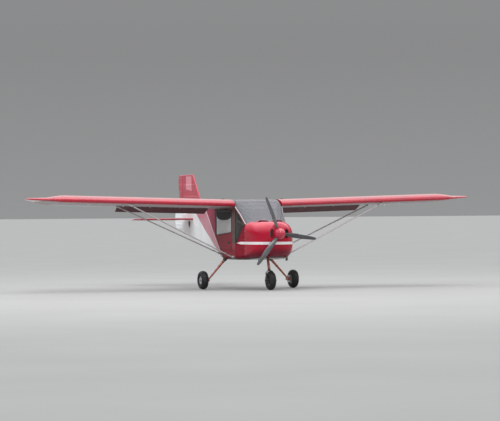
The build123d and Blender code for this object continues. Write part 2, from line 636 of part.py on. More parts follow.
# seat pans and back frames on the floor
seat_frame = None
for y in (SEAT_Y, -SEAT_Y):
    pan = side_plate([(-330, 760), (-330, 785), (-800, 765), (-1165, 1385), (-1186, 1372), (-812, 738), (-330, 752)], y - SEAT_HW, y + SEAT_HW)
    legs = box(-360, -340, y - 180, y - 160, 650, 758) + box(-360, -340, y + 160, y + 180, 650, 758)
    legs = legs + box(-700, -680, y - 180, y - 160, 650, 750) + box(-700, -680, y + 160, y + 180, 650, 750)
    seat_frame = (pan + legs) if seat_frame is None else seat_frame + pan + legs
seat_frame = seat_frame - NODES["rear_bulkhead"] - NODES["door_sills"]
put("seat_frames", Compound(sorted(seat_frame.solids(), key=lambda q: -q.volume)[:2]))
base = side_plate([(-320, 788), (-320, 885), (-690, 872), (-768, 840), (-768, 770)], SEAT_Y - 200, SEAT_Y + 200)
back = side_plate([(-722, 882), (-1045, 1430), (-1110, 1462), (-1150, 1408), (-790, 800)], SEAT_Y - 200, SEAT_Y + 200)
back = back - box(-330, -780, SEAT_Y - 210, SEAT_Y + 210, 740, 888)
put("seat_cushions", pair(one(base - seat_frame)))
put("seat_backs", pair(one(back - base - seat_frame)))

# instrument panel with its deck
panel = side_plate([(300, 1120), (300, 1352), (388, 1372), (388, 1384), (280, 1366), (280, 1120)], -405, 405)
panel = panel - side_frame - mirrored(side_frame)
for t in cross:
    panel = panel - t
put("instrument_panel", one(panel))
# control stick between the seats, with one grip to each side
stick = rod((-60, 0, 653), (-110, 0, 900), 14) + rod((-110, 0, 888), (-120, 150, 1080), 10) + rod((-110, 0, 888), (-120, -150, 1080), 10)
stick = stick + rod((-120, 150, 1070), (-128, 152, 1175), 17) + rod((-120, -150, 1070), (-128, -152, 1175), 17)
put("control_stick", one(stick))
# rudder pedals on one cross bar, held by a bracket on the floor
pedals = rod((250, -380, 720), (250, 380, 720), 10)
for y in (-330, -180, 180, 330):
    pedals = pedals + rod((250, y, 720), (268, y, 860), 8) + box(262, 282, y - 45, y + 45, 830, 910)
pedals = pedals + box(240, 260, -20, 20, 655, 722)
put("rudder_pedals", one(pedals - NODES["cabin_floor"]))

hinge_parts = [one(h - side_frame) for h in hinge_parts]
put("door_hinges", Compound(hinge_parts + [mirrored(h) for h in hinge_parts]))
for n in ("cabin_floor", "rear_bulkhead", "firewall", "door_sills", "forward_sides"):
    side_frame = side_frame - NODES[n]
side_frame = one(side_frame)
put("left_cabin_frame", side_frame)
put("right_cabin_frame", mirrored(side_frame))
put("frame_cross_tubes", Compound(cross))

# ---------------------------------------------------------------- landing gear
corner = (SIDE_Y - CORNER_R, BELLY_Z + CORNER_R)
lean = math.radians(48.0)
root = (MAIN_F - 25, corner[0] + 85 * math.cos(lean), corner[1] - 85 * math.sin(lean))
LEG_END_Y = 905.0
leg_end = (MAIN_F, LEG_END_Y, 205.0)
leg = rod(root, leg_end, 30, 17)
axle = rod((MAIN_F, LEG_END_Y - 12, TYRE_R), (MAIN_F, TRACK_Y + 78, TYRE_R), AXLE_R)
flange = rod((MAIN_F, LEG_END_Y - 14, TYRE_R), (MAIN_F, LEG_END_Y + 16, TYRE_R), 34)
leg = one((leg + flange + axle) - sill_solid - extrude(tub(station(-900), SIDE_Y, BELLY_Z, 1400.0, CORNER_R, 150.0), 899.5))
# brake calliper block, bolted behind the flange
brake = box(MAIN_F - 100, MAIN_F - 20, LEG_END_Y - 8, LEG_END_Y + 22, TYRE_R - 30, TYRE_R + 40)
leg = one(leg + brake)
put("main_gear_legs", pair(leg))


def tyre(r, w, rim):
    s = 0.5 * w
    h = r - rim
    edges = [
        Line((rim, -0.62 * s), (rim, 0.62 * s)),
        ThreePointArc((rim, 0.62 * s), (rim + 0.42 * h, s), (rim + 0.78 * h, 0.86 * s)),
        ThreePointArc((rim + 0.78 * h, 0.86 * s), (r, 0), (rim + 0.78 * h, -0.86 * s)),
        ThreePointArc((rim + 0.78 * h, -0.86 * s), (rim + 0.42 * h, -s), (rim, -0.62 * s)),
    ]
    return revolve(make_face(edges), axis=Axis.Y)


def rim(r, w, bore, hub_w):
    s = 0.5 * w
    edges = [
        Line((bore, -hub_w / 2), (45, -hub_w / 2)), Line((45, -hub_w / 2), (50, -0.30 * s)), Line((50, -0.30 * s), (r - 14, -0.34 * s)),
        Line((r - 14, -0.34 * s), (r - 8, -0.60 * s)), Line((r - 8, -0.60 * s), (r, -0.60 * s)), Line((r, -0.60 * s), (r, 0.60 * s)),
        Line((r, 0.60 * s), (r - 8, 0.60 * s)), Line((r - 8, 0.60 * s), (r - 14, 0.34 * s)), Line((r - 14, 0.34 * s), (50, 0.30 * s)),
        Line((50, 0.30 * s), (45, hub_w / 2)), Line((45, hub_w / 2), (bore, hub_w / 2)), Line((bore, hub_w / 2), (bore, -hub_w / 2)),
    ]
    return revolve(make_face(edges), axis=Axis.Y)


main_tyre = Pos(MAIN_F + DX, TRACK_Y, TYRE_R) * tyre(TYRE_R, TYRE_W, RIM_R)
main_hub = Pos(MAIN_F + DX, TRACK_Y, TYRE_R) * rim(RIM_R, TYRE_W, AXLE_R + 0.05, 120)
put("left_main_tyre", main_tyre)
put("right_main_tyre", mirrored(main_tyre))
put("left_main_hub", main_hub)
put("right_main_hub", mirrored(main_hub))
put("nose_tyre", Pos(NOSE_WHEEL_F + DX, 0, TYRE_R) * tyre(TYRE_R, NOSE_TYRE_W, RIM_R))
put("nose_hub", Pos(NOSE_WHEEL_F + DX, 0, TYRE_R) * rim(RIM_R, NOSE_TYRE_W, NOSE_AXLE_R + 0.05, 110))

# nose leg: raked tube turning in a bracket on the firewall, with a fork and the wheel's axle
STEER_A = (497.0, 0.0, 680.0)
STEER_B = (650.0, 0.0, 190.0)
sdir = (Vector(*STEER_A) - Vector(*STEER_B)).normalized()


def on_steer(z):
    k = (z - STEER_A[2]) / sdir.Z
    return (STEER_A[0] + sdir.X * k, 0.0, z)


nose_leg = rod(on_steer(445), on_steer(905), 21) + rod(on_steer(446), on_steer(700), 27)
crown = rod(on_steer(420), on_steer(448), 40) + box(on_steer(432)[0] - 26, on_steer(432)[0] + 26, -91, 91, 420, 446)
prongs = None
for y in (-84.0, 84.0):
    pr = flat_bar((on_steer(432)[0], y, 436), (NOSE_WHEEL_F, y, TYRE_R), 40, 12)
    pr = pr + rod((NOSE_WHEEL_F, y - 6, TYRE_R), (NOSE_WHEEL_F, y + 6, TYRE_R), 24)
    prongs = pr if prongs is None else prongs + pr
nose_axle = rod((NOSE_WHEEL_F, -103, TYRE_R), (NOSE_WHEEL_F, 103, TYRE_R), NOSE_AXLE_R) + rod(
    (NOSE_WHEEL_F, -TOW_PIN_END, TYRE_R), (NOSE_WHEEL_F, TOW_PIN_END, TYRE_R), TOW_PIN_R
)
put("nose_leg", one(nose_leg + crown + prongs + nose_axle))
# bracket: two collars on plates from the firewall
bracket = None
for z in (745.0, 900.0):
    c = on_steer(z)
    a = on_steer(z - 16)
    b = on_steer(z + 16)
    br = rod(a, b, 36) + box(FIREWALL_F + 0.5, c[0], -28, 28, z - 14, z + 14)
    bracket = br if bracket is None else bracket + br
bracket = bracket - rod(on_steer(600), on_steer(1000), 21.06) + box(FIREWALL_F + 0.5, FIREWALL_F + 9, -34, 34, 720, 925)
put("nose_leg_bracket", one(bracket - rod(on_steer(600), on_steer(1000), 21.06) - fw))

print("nodes", len(NODES))
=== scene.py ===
import bpy
import bmesh
import math
import numpy as np
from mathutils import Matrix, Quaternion, Vector
from mathutils.bvhtree import BVHTree


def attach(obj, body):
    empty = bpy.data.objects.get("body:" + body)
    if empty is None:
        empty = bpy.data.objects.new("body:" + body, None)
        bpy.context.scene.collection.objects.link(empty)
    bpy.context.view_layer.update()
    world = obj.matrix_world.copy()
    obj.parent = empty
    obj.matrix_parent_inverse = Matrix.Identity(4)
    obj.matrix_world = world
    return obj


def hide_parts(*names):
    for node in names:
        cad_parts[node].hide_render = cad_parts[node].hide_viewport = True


# Looks of the two-seat high-wing ultralight aircraft. Metres, +X nose, +Y left wing, +Z up.
# Stations: f = metres forward of the wing's leading edge, x = f + DX.
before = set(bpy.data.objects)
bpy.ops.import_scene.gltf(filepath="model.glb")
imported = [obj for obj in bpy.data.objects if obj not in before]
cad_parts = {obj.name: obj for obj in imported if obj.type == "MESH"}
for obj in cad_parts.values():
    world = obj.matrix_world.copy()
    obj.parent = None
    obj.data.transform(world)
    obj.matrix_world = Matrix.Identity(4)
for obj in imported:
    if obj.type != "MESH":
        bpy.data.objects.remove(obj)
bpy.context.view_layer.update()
scene = bpy.context.scene
DX = 1.945
rad = math.radians

# ------------------------------------------------------------------ node materials


class Mat:
    """A procedural material under construction."""

    def __init__(self, name, color=(0.5, 0.5, 0.5), rough=0.5, metal=0.0, **sockets):
        self.m = bpy.data.materials.new(name)
        self.m.use_nodes = True
        self.t = self.m.node_tree
        self.t.nodes.clear()
        self.out = self.t.nodes.new("ShaderNodeOutputMaterial")
        self.b = self.t.nodes.new("ShaderNodeBsdfPrincipled")
        self.t.links.new(self.b.outputs[0], self.out.inputs[0])
        self.b.inputs["Base Color"].default_value = (*color, 1)
        self.b.inputs["Roughness"].default_value = rough
        self.b.inputs["Metallic"].default_value = metal
        for k, v in sockets.items():
            self.b.inputs[k.replace("_", " ")].default_value = v
        self._pos = None

    def node(self, kind, **props):
        n = self.t.nodes.new(kind)
        for k, v in props.items():
            setattr(n, k, v)
        return n

    def link(self, a, b):
        self.t.links.new(a, b)

    def value(self, socket, x):
        if isinstance(x, (int, float)):
            socket.default_value = x
        elif isinstance(x, tuple):
            socket.default_value = (*x, 1) if len(x) == 3 else x
        else:
            self.link(x, socket)

    def pos(self):
        if self._pos is None:
            self._pos = self.node("ShaderNodeTexCoord").outputs["Object"]
        return self._pos

    def xyz(self):
        s = self.node("ShaderNodeSeparateXYZ")
        self.link(self.pos(), s.inputs[0])
        return s.outputs

    def scaled(self, sx, sy, sz):
        m = self.node("ShaderNodeMapping")
        self.link(self.pos(), m.inputs[0])
        m.inputs["Scale"].default_value = (sx, sy, sz)
        return m.outputs[0]

    def noise(self, scale, detail=3.0, rough=0.55, vec=None):
        n = self.node("ShaderNodeTexNoise")
        n.inputs["Scale"].default_value = scale
        n.inputs["Detail"].default_value = detail
        n.inputs["Roughness"].default_value = rough
        self.link(vec or self.pos(), n.inputs["Vector"])
        return n.outputs["Fac"]

    def wave(self, scale, axis="X", distortion=0.0, vec=None):
        n = self.node("ShaderNodeTexWave", bands_direction=axis)
        n.inputs["Scale"].default_value = scale
        n.inputs["Distortion"].default_value = distortion
        self.link(vec or self.pos(), n.inputs["Vector"])
        return n.outputs["Fac"]

    def voronoi(self, scale):
        n = self.node("ShaderNodeTexVoronoi")
        n.inputs["Scale"].default_value = scale
        self.link(self.pos(), n.inputs["Vector"])
        return n.outputs["Distance"]

    def math(self, op, a, b=0.0, clamp=False):
        n = self.node("ShaderNodeMath", operation=op, use_clamp=clamp)
        self.value(n.inputs[0], a)
        self.value(n.inputs[1], b)
        return n.outputs[0]

    def span(self, x, a, b, lo=0.0, hi=1.0):
        """x from a to b, mapped to lo to hi and held there outside."""
        n = self.node("ShaderNodeMapRange", clamp=True)
        self.value(n.inputs["Value"], x)
        for k, v in (("From Min", a), ("From Max", b), ("To Min", lo), ("To Max", hi)):
            n.inputs[k].default_value = v
        return n.outputs[0]

    def mix(self, fac, a, b):
        n = self.node("ShaderNodeMix", data_type="RGBA")
        self.value(n.inputs["Factor"], fac)
        ins = [s for s in n.inputs if s.type == "RGBA"]
        self.value(ins[0], a)
        self.value(ins[1], b)
        return [s for s in n.outputs if s.type == "RGBA"][0]

    def color(self, x):
        self.value(self.b.inputs["Base Color"], x)

    def rough(self, x):
        self.value(self.b.inputs["Roughness"], x)

    def bump(self, height, strength=0.2, distance=0.001):
        n = self.node("ShaderNodeBump")
        n.inputs["Strength"].default_value = strength
        n.inputs["Distance"].default_value = distance
        self.link(height, n.inputs["Height"])
        prev = getattr(self, "_normal", None)
        if prev:
            self.link(prev, n.inputs["Normal"])
        self._normal = n.outputs[0]
        for l in list(self.b.inputs["Normal"].links):
            self.t.links.remove(l)
        self.link(self._normal, self.b.inputs["Normal"])


RED = (0.42, 0.007, 0.030)
DEEP = (0.20, 0.010, 0.020)
WHITE = (0.92, 0.94, 0.97)
PINK = (0.62, 0.20, 0.25)
MAROON = (0.028, 0.008, 0.012)
PALE = (0.80, 0.66, 0.69)
STRIPE_Z = (0.953, 1.008)


def paint_variation(k, base, amount=0.10, scale=2.2):
    """Slight fading and soiling of a paint colour."""
    dark = tuple(c * (1 - amount * 1.6) for c in base)
    light = tuple(min(1.0, c * (1 + amount) + amount * 0.02) for c in base)
    return k.mix(k.span(k.noise(scale, 4.0), 0.3, 0.7), dark, light)


def gloss_paint(name, base, rough=0.16, coat=0.6, stripe=False, belly=False, spec=0.3, foot=None, painted_top_sheen=None):
    k = Mat(name, base, rough, Coat_Weight=coat, Coat_Roughness=0.05, Specular_IOR_Level=spec)
    col = paint_variation(k, base, 0.07)
    x, y, z = k.xyz()
    if painted_top_sheen:
        # painted highlight: the upper surfaces are coloured a lighter pink, standing in for the sky's sheen on the
        # gloss
        sheen_height = k.math("ADD", z, k.math("MULTIPLY", k.math("SUBTRACT", k.noise(3.0, 4.0), 0.5), 0.10))
        col = k.mix(k.math("MULTIPLY", k.span(sheen_height, painted_top_sheen[0], painted_top_sheen[1]), 0.80), col, (0.70, 0.125, 0.165))
    if foot:
        # the part below this height has the side's colour
        col = k.mix(k.span(k.math("SUBTRACT", foot, z), -0.0006, 0.0006), col, (0.27, 0.005, 0.022))
    if belly:
        # painted shade with dirt: a dark underside, standing in for the shade and the ground reflected below as well as
        # soiling; its edge climbs under the chin
        zb = k.math("MAXIMUM", 0.664, k.math("ADD", 0.664, k.math("MULTIPLY", k.math("SUBTRACT", x, DX + 0.45), 0.12)))
        zb = k.math("MINIMUM", zb, 0.70)
        zb = k.math("ADD", zb, k.math("MULTIPLY", k.math("SUBTRACT", k.noise(9.0, 4.0), 0.5), 0.03))
        mask = k.span(k.math("SUBTRACT", zb, z), -0.006, 0.010)
        underside_shade_and_soil = k.mix(k.span(k.noise(14.0, 5.0), 0.35, 0.7), MAROON, (0.050, 0.020, 0.024))
        # painted shade: the lower cowl is darkened, standing in for its shade and the dark ground reflected in it, more
        # of it towards the nose
        zs = k.math("ADD", 0.69, k.math("MULTIPLY", k.math("SUBTRACT", x, DX + 0.15), 0.19))
        zs = k.math("ADD", zs, k.math("MULTIPLY", k.math("SUBTRACT", k.noise(4.0, 4.0), 0.5), 0.05))
        painted_lower_shade = k.math("MULTIPLY", k.span(k.math("SUBTRACT", zs, z), -0.03, 0.06), 0.85)
        col = k.mix(painted_lower_shade, col, (0.15, 0.006, 0.022))
        col = k.mix(mask, col, underside_shade_and_soil)
    if stripe:
        # white stripe round the nose, pointed at its rear end
        half = k.math("MINIMUM", (STRIPE_Z[1] - STRIPE_Z[0]) / 2, k.math("MULTIPLY", k.math("SUBTRACT", x, DX + 0.065), 0.16))
        off = k.math("ABSOLUTE", k.math("SUBTRACT", z, sum(STRIPE_Z) / 2))
        edge = k.span(k.math("SUBTRACT", half, off), -0.0006, 0.0006)
        col = k.mix(edge, col, (0.92, 0.88, 0.90))
    k.color(col)
    k.rough(k.span(k.noise(30.0, 4.0), 0.3, 0.7, rough * 0.8, rough * 1.35))
    k.bump(k.noise(160.0, 2.0), 0.05, 0.0006)
    return k.m


def weave(k, scale=420.0, strength=0.22):
    a = k.wave(scale, "X", 0.3)
    b = k.wave(scale, "Z", 0.3)
    c = k.wave(scale, "Y", 0.3)
    k.bump(k.math("ADD", k.math("MULTIPLY", a, b), c), strength, 0.0004)


def doped_fabric(name, base, rough=0.38, coat=0.25, masks=None, fade=0.06, spec=0.3):
    """Painted fabric. masks: function (k, colour) -> colour."""
    k = Mat(name, base, rough, Coat_Weight=coat, Coat_Roughness=0.18, Specular_IOR_Level=spec)
    col = paint_variation(k, base, fade, 1.6)
    if masks:
        col = masks(k, col)
    k.color(col)
    k.rough(k.span(k.noise(18.0, 5.0), 0.3, 0.7, rough * 0.85, rough * 1.25))
    weave(k)
    k.bump(k.noise(6.0, 3.0), 0.10, 0.004)
    return k.m


def line_side(k, p, q):
    """Signed distance of a point from the line through p and q in the f, z plane; positive forward of it."""
    x, y, z = k.xyz()
    (f0, z0), (f1, z1) = p, q
    n = Vector((z1 - z0, -(f1 - f0))).normalized()
    if n.x < 0:
        n = -n
    a = k.math("MULTIPLY", k.math("SUBTRACT", x, DX + f0), n.x)
    b = k.math("MULTIPLY", k.math("SUBTRACT", z, z0), n.y)
    return k.math("ADD", a, b)


def rear_masks(k, col):
    d = line_side(k, (-3.06, 1.60), (-0.80, 0.655))
    # painted light: forward of the paint's edge the red fabric is coloured a light pink, standing in for daylight
    # showing through it; its two tones vary at random
    fade = k.mix(k.span(k.noise(3.0, 3.0), 0.35, 0.65), (0.56, 0.17, 0.24), (0.64, 0.22, 0.29))
    col = k.mix(k.span(d, -0.0008, 0.0008), col, fade)
    # a thin pale line along the paint's edge
    near = k.math("ABSOLUTE", k.math("SUBTRACT", d, -0.0))
    return k.mix(k.span(near, 0.006, 0.0075, 1.0, 0.0), col, (0.82, 0.72, 0.75))


def fin_masks(k, col):
    x, y, z = k.xyz()
    # lighter panel on the fin, its lower edge slanted
    inside = k.math("MULTIPLY", k.span(x, DX - 4.432, DX - 4.430), k.span(x, DX - 4.072, DX - 4.070, 1.0, 0.0))
    low = k.math("ADD", 2.150, k.math("MULTIPLY", k.math("SUBTRACT", x, DX - 4.43), -0.10))
    inside = k.math("MULTIPLY", inside, k.span(k.math("SUBTRACT", z, low), -0.001, 0.001))
    inside = k.math("MULTIPLY", inside, k.span(z, 2.443, 2.445, 1.0, 0.0))
    col = k.mix(inside, col, (0.76, 0.30, 0.36))
    return k.mix(k.span(line_side(k, (-5.06, 2.00), (-4.20, 1.625)), -0.001, 0.001), WHITE, col)


def glass(name, tint, alpha, rough=0.03):
    k = Mat(name, tint, rough, IOR=1.49, Specular_IOR_Level=0.4)
    k.color(k.mix(k.span(k.noise(2.5, 3.0), 0.35, 0.65), tuple(c * 0.92 for c in tint), tuple(min(1, c * 1.06) for c in tint)))
    k.b.inputs["Alpha"].default_value = alpha
    k.rough(k.span(k.noise(40.0, 5.0), 0.35, 0.75, rough, rough + 0.07))
    return k.m


def metal(name, base, rough=0.3, scratches=True, amount=0.12):
    k = Mat(name, base, rough, 1.0)
    dark = tuple(c * (1 - amount) for c in base)
    k.color(k.mix(k.span(k.noise(12.0, 5.0), 0.35, 0.65), dark, base))
    k.rough(k.span(k.noise(60.0, 4.0), 0.3, 0.7, rough * 0.7, rough * 1.5))
    if scratches:
        k.bump(k.noise(220.0, 3.0, vec=k.scaled(1, 0.08, 1)), 0.08, 0.0004)
    return k.m


def paint(name, base, rough=0.35, metal_=0.0, grime=0.25, coat=0.0, scale=7.0, grain=0.08):
    k = Mat(name, base, rough, metal_, Coat_Weight=coat)
    dark = tuple(c * (1 - grime) for c in base)
    k.color(k.mix(k.span(k.noise(scale, 5.0), 0.35, 0.7), dark, base))
    k.rough(k.span(k.noise(25.0, 4.0), 0.3, 0.7, rough * 0.8, min(1.0, rough * 1.3)))
    k.bump(k.noise(120.0, 3.0), grain, 0.0006)
    return k.m


def cloth(name, a, b, scale=300.0):
    k = Mat(name, a, 0.85, Sheen_Weight=0.3, Sheen_Roughness=0.4)
    pat = k.math("MULTIPLY", k.wave(scale, "Y", 0.4), k.wave(scale, "Z", 0.4))
    k.color(k.mix(pat, a, b))
    k.bump(pat, 0.05, 0.0003)
    k.bump(k.noise(18.0, 3.0), 0.10, 0.002)
    return k.m


def rubber(name, base=(0.012, 0.013, 0.015), rough=0.66):
    k = Mat(name, base, rough)
    dust = k.mix(k.span(k.noise(16.0, 5.0), 0.5, 0.85), base, (0.05, 0.05, 0.048))
    k.color(dust)
    k.bump(k.noise(260.0, 3.0), 0.25, 0.0008)
    return k.m


def exhaust_metal(name):
    k = Mat(name, (0.3, 0.26, 0.22), 0.42, 1.0)
    a = k.mix(k.span(k.noise(18.0, 5.0), 0.35, 0.65), (0.20, 0.14, 0.10), (0.34, 0.31, 0.30))
    x, y, z = k.xyz()
    k.color(k.mix(k.span(z, 0.62, 0.72, 0.75, 0.0), a, (0.05, 0.04, 0.035)))
    k.bump(k.noise(90.0, 4.0), 0.2, 0.0008)
    return k.m


M = {
    # the cowl carries a painted highlight on its top, and painted shade with dirt low down
    "cowl": gloss_paint("cowl_gel_coat", RED, 0.15, 0.28, stripe=True, belly=True, spec=0.12, painted_top_sheen=(1.21, 1.37)),
    "skin": gloss_paint("red_panel_paint", (0.27, 0.005, 0.022), 0.26, 0.08, stripe=True, belly=True, spec=0.1),
    "spinner": gloss_paint("spinner_paint", (0.48, 0.010, 0.046), 0.16, 0.9),
    "edge_band": gloss_paint("leading_edge_paint", RED, 0.16, 0.75),
    # painted shade: the posts and the rails over the doors are coloured dark brown, standing in for the shade on them;
    # below the foot height they take the side's red
    "post": gloss_paint("door_post_painted_shade", (0.105, 0.033, 0.030), 0.28, 0.3, spec=0.2, foot=0.965),
    "white_fabric": doped_fabric("white_wing_fabric", (0.50, 0.52, 0.56)),
    "tape": doped_fabric("white_rib_tape", (0.57, 0.59, 0.62), 0.42),
    "red_fabric": doped_fabric("red_fabric", (0.34, 0.020, 0.040), 0.34, 0.35),
    # painted shade over red paint: the flaps' fabric is far darker than the other red fabric, for the shade under the
    # wing
    "flap_fabric_painted_shade": doped_fabric("flap_fabric_painted_shade", (0.085, 0.007, 0.016), 0.36, 0.10, spec=0.1),
    # painted shade: the wing's white underside fabric is coloured a darker pinkish grey, standing in for its shade and
    # the red reflected on it
    "underside_shaded_fabric": doped_fabric("wing_underside_painted_shade", (0.40, 0.325, 0.335), 0.42, 0.1, spec=0.15),
    "rear_skin": doped_fabric("rear_fuselage_fabric", WHITE, 0.32, 0.25, rear_masks, spec=0.2),
    # painted light: the fin and rudder fabric is a lighter red than the other red fabric, standing in for daylight
    # showing through it
    "tail_fabric": doped_fabric("fin_fabric", (0.52, 0.075, 0.11), 0.32, 0.3, fin_masks, spec=0.2),
    "side_fabric": doped_fabric("side_panel_fabric", (0.30, 0.024, 0.065), 0.34, 0.2, spec=0.15),
    # the same dark maroon below: painted shade of the bottom along with dirt
    "belly": paint("belly_paint", MAROON, 0.5, 0.0, 0.45),
    # painted reflection: the windshield and roof glass carry a half-opaque pale grey, standing in for the sky reflected
    # in them
    "windshield": glass("windshield_acrylic", (0.23, 0.235, 0.26), 0.50),
    # painted light: the door windows carry a half-opaque near-white, standing in for the light seen through them and
    # reflected in them
    "clear": glass("window_acrylic", (0.95, 0.98, 1.0), 0.46),
    "quarter": glass("quarter_window_acrylic", (0.055, 0.055, 0.050), 0.42),
    # painted shade: near-black sheets on the door windows' tops and the strips over them
    "film": paint("window_painted_shade_sheet", (0.006, 0.006, 0.007), 0.6, 0.0, 0.2),
    "alloy": metal("wheel_alloy", (0.74, 0.74, 0.76), 0.32),
    "dark_rim": paint("nose_rim_paint", (0.10, 0.10, 0.105), 0.4, 0.6, 0.3),
    "engine": metal("engine_castings", (0.42, 0.42, 0.43), 0.5),
    "sheet": metal("aluminium_sheet", (0.70, 0.71, 0.73), 0.38),
    "plated": metal("plated_fittings", (0.62, 0.61, 0.60), 0.28),
    "exhaust": exhaust_metal("heat_stained_steel"),
    "nose_leg": paint("nose_leg_paint", (0.36, 0.085, 0.055), 0.34, 0.0, 0.25, 0.2),
    "tube": paint("frame_tube_paint", (0.52, 0.52, 0.53), 0.35, 0.0, 0.2, 0.2),
    "dark_tube": paint("dark_tube_paint", (0.05, 0.05, 0.055), 0.4, 0.0, 0.3),
    "leg": paint("gear_leg_paint", (0.46, 0.125, 0.075), 0.34, 0.0, 0.20, 0.2),
    "strut": paint("strut_paint", (0.45, 0.42, 0.43), 0.36, 0.0, 0.05, 0.15, 2.0, 0.012),
    "blade": paint("blade_composite", (0.075, 0.076, 0.080), 0.33, 0.0, 0.25, 0.3, 12.0),
    "tyre": rubber("tyre_rubber"),
    "seal": rubber("seal_rubber", (0.016, 0.016, 0.017), 0.5),
    "seat": cloth("seat_cloth", (0.060, 0.062, 0.072), (0.082, 0.083, 0.095)),
    "seat_edge": cloth("seat_piping_cloth", (0.22, 0.015, 0.02), (0.33, 0.03, 0.035)),
    "carpet": cloth("carpet", (0.050, 0.048, 0.047), (0.075, 0.071, 0.069), 180.0),
    "bulkhead": cloth("bulkhead_cloth", (0.14, 0.14, 0.15), (0.17, 0.17, 0.18), 240.0),
    "webbing": cloth("harness_webbing", (0.09, 0.09, 0.095), (0.16, 0.16, 0.165), 500.0),
    "panel": paint("panel_crackle_paint", (0.028, 0.028, 0.030), 0.6, 0.0, 0.3, 0.0, 60.0),
    "dial": paint("dial_face", (0.012, 0.012, 0.013), 0.35, 0.0, 0.2, 0.5),
    "mark": paint("dial_marks", (0.80, 0.80, 0.78), 0.5, 0.0, 0.05),
    "knob_red": paint("red_knob", (0.45, 0.02, 0.02), 0.3, 0.0, 0.1, 0.4),
    # painted shade: near-black for the insides of the cowl's scoops
    "dark": paint("inside_painted_shade", (0.012, 0.012, 0.013), 0.7, 0.0, 0.2),
    "pinstripe": paint("pale_tape", PALE, 0.3, 0.0, 0.10, 0.4, 3.0),
    "core": metal("cooler_core", (0.35, 0.34, 0.33), 0.45),
}


# the nose leg's fork is dark, its upper tube red-brown
_k = M["nose_leg"].node_tree
_tc, _sp = _k.nodes.new("ShaderNodeTexCoord"), _k.nodes.new("ShaderNodeSeparateXYZ")
_mr, _mx = _k.nodes.new("ShaderNodeMapRange"), _k.nodes.new("ShaderNodeMix")
_mx.data_type = "RGBA"
_k.links.new(_tc.outputs["Object"], _sp.inputs[0])
_k.links.new(_sp.outputs[2], _mr.inputs["Value"])
_mr.inputs["From Min"].default_value, _mr.inputs["From Max"].default_value = 0.449, 0.453
_bs = [n for n in _k.nodes if n.type == "BSDF_PRINCIPLED"][0]
_from = _bs.inputs["Base Color"].links[0].from_socket
_cols = [q for q in _mx.inputs if q.type == "RGBA"]
_cols[0].default_value = (0.030, 0.026, 0.026, 1)
_k.links.new(_mr.outputs[0], _mx.inputs["Factor"])
_k.links.new(_from, _cols[1])
_k.links.new([q for q in _mx.outputs if q.type == "RGBA"][0], _bs.inputs["Base Color"])


def dress(node, mat):
    """Gives a CAD node its finish."""
    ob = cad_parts[node]
    ob.data.materials.clear()
    ob.data.materials.append(M[mat])


for node, mat in (
    ("spinner", "spinner"), ("firewall", "sheet"), ("cabin_floor", "belly"), ("forward_sides", "skin"), ("door_sills", "skin"),
    ("door_posts", "post"), ("rear_side_panels", "side_fabric"), ("left_door", "skin"), ("right_door", "skin"),
    ("left_door_window", "clear"), ("right_door_window", "clear"), ("engine_block", "engine"), ("exhaust_pipe", "exhaust"),
    ("left_cabin_frame", "tube"), ("right_cabin_frame", "tube"), ("frame_cross_tubes", "tube"), ("door_hinges", "plated"),
    ("rear_bulkhead", "bulkhead"), ("front_struts", "strut"), ("rear_struts", "strut"), ("tie_down_rings", "plated"),
    ("main_gear_legs", "leg"), ("nose_leg", "nose_leg"), ("nose_leg_bracket", "plated"), ("left_main_hub", "alloy"),
    ("right_main_hub", "alloy"), ("nose_hub", "alloy"), ("seat_frames", "dark_tube"), ("instrument_panel", "panel"),
    ("control_stick", "dark_tube"), ("rudder_pedals", "sheet"), ("roof_panel", "edge_band"),
):
    dress(node, mat)

# ------------------------------------------------------------------ mesh helpers


class Bag:
    """Collects verts and faces, then makes one object."""

    def __init__(self):
        self.v, self.f, self.m = [], [], []

    def put(self, verts, faces, mat=0):
        base = len(self.v)
        self.v += [tuple(map(float, p)) for p in verts]
        for i, fc in enumerate(faces):
            self.f.append([base + j for j in fc])
            self.m.append(mat if isinstance(mat, int) else mat[i])
        return self

    def mirrored(self):
        """Adds the mirror image across the aircraft's middle plane."""
        n = len(self.v)
        self.v += [(x, -y, z) for x, y, z in self.v]
        self.f += [[n + j for j in reversed(fc)] for fc in list(self.f)]
        self.m += list(self.m)
        return self

    def make(self, name, body, mats, slot, sharp=32.0, weld=None):
        me = bpy.data.meshes.new(name)
        me.from_pydata(self.v, [], self.f)
        me.update()
        for m in mats:
            me.materials.append(M[m])
        me.polygons.foreach_set("material_index", self.m)
        bm = bmesh.new()
        bm.from_mesh(me)
        if weld:
            bmesh.ops.remove_doubles(bm, verts=bm.verts, dist=weld)
            bmesh.ops.dissolve_degenerate(bm, edges=bm.edges, dist=weld)
        bmesh.ops.recalc_face_normals(bm, faces=bm.faces)
        bm.to_mesh(me)
        bm.free()
        me.shade_smooth()
        me.set_sharp_from_angle(angle=rad(sharp))
        ob = bpy.data.objects.new(name, me)
        scene.collection.objects.link(ob)
        if body:
            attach(ob, body)
        return ob


def rings(loops, closed=True, cap0=True, cap1=True, mat=0):
    """Quads between rings of points; n-gon caps."""
    n = len(loops[0])
    verts = [p for lp in loops for p in lp]
    faces, mats = [], []
    last = n if closed else n - 1
    for i in range(len(loops) - 1):
        for j in range(last):
            k = (j + 1) % n
            faces.append([i * n + j, i * n + k, (i + 1) * n + k, (i + 1) * n + j])
            mats.append(mat(i, j) if callable(mat) else mat)
    m0 = mat(0, 0) if callable(mat) else mat
    m1 = mat(len(loops) - 2, 0) if callable(mat) else mat
    if cap0:
        faces.append(list(range(n))[::-1])
        mats.append(m0)
    if cap1:
        faces.append([(len(loops) - 1) * n + j for j in range(n)])
        mats.append(m1)
    return verts, faces, mats


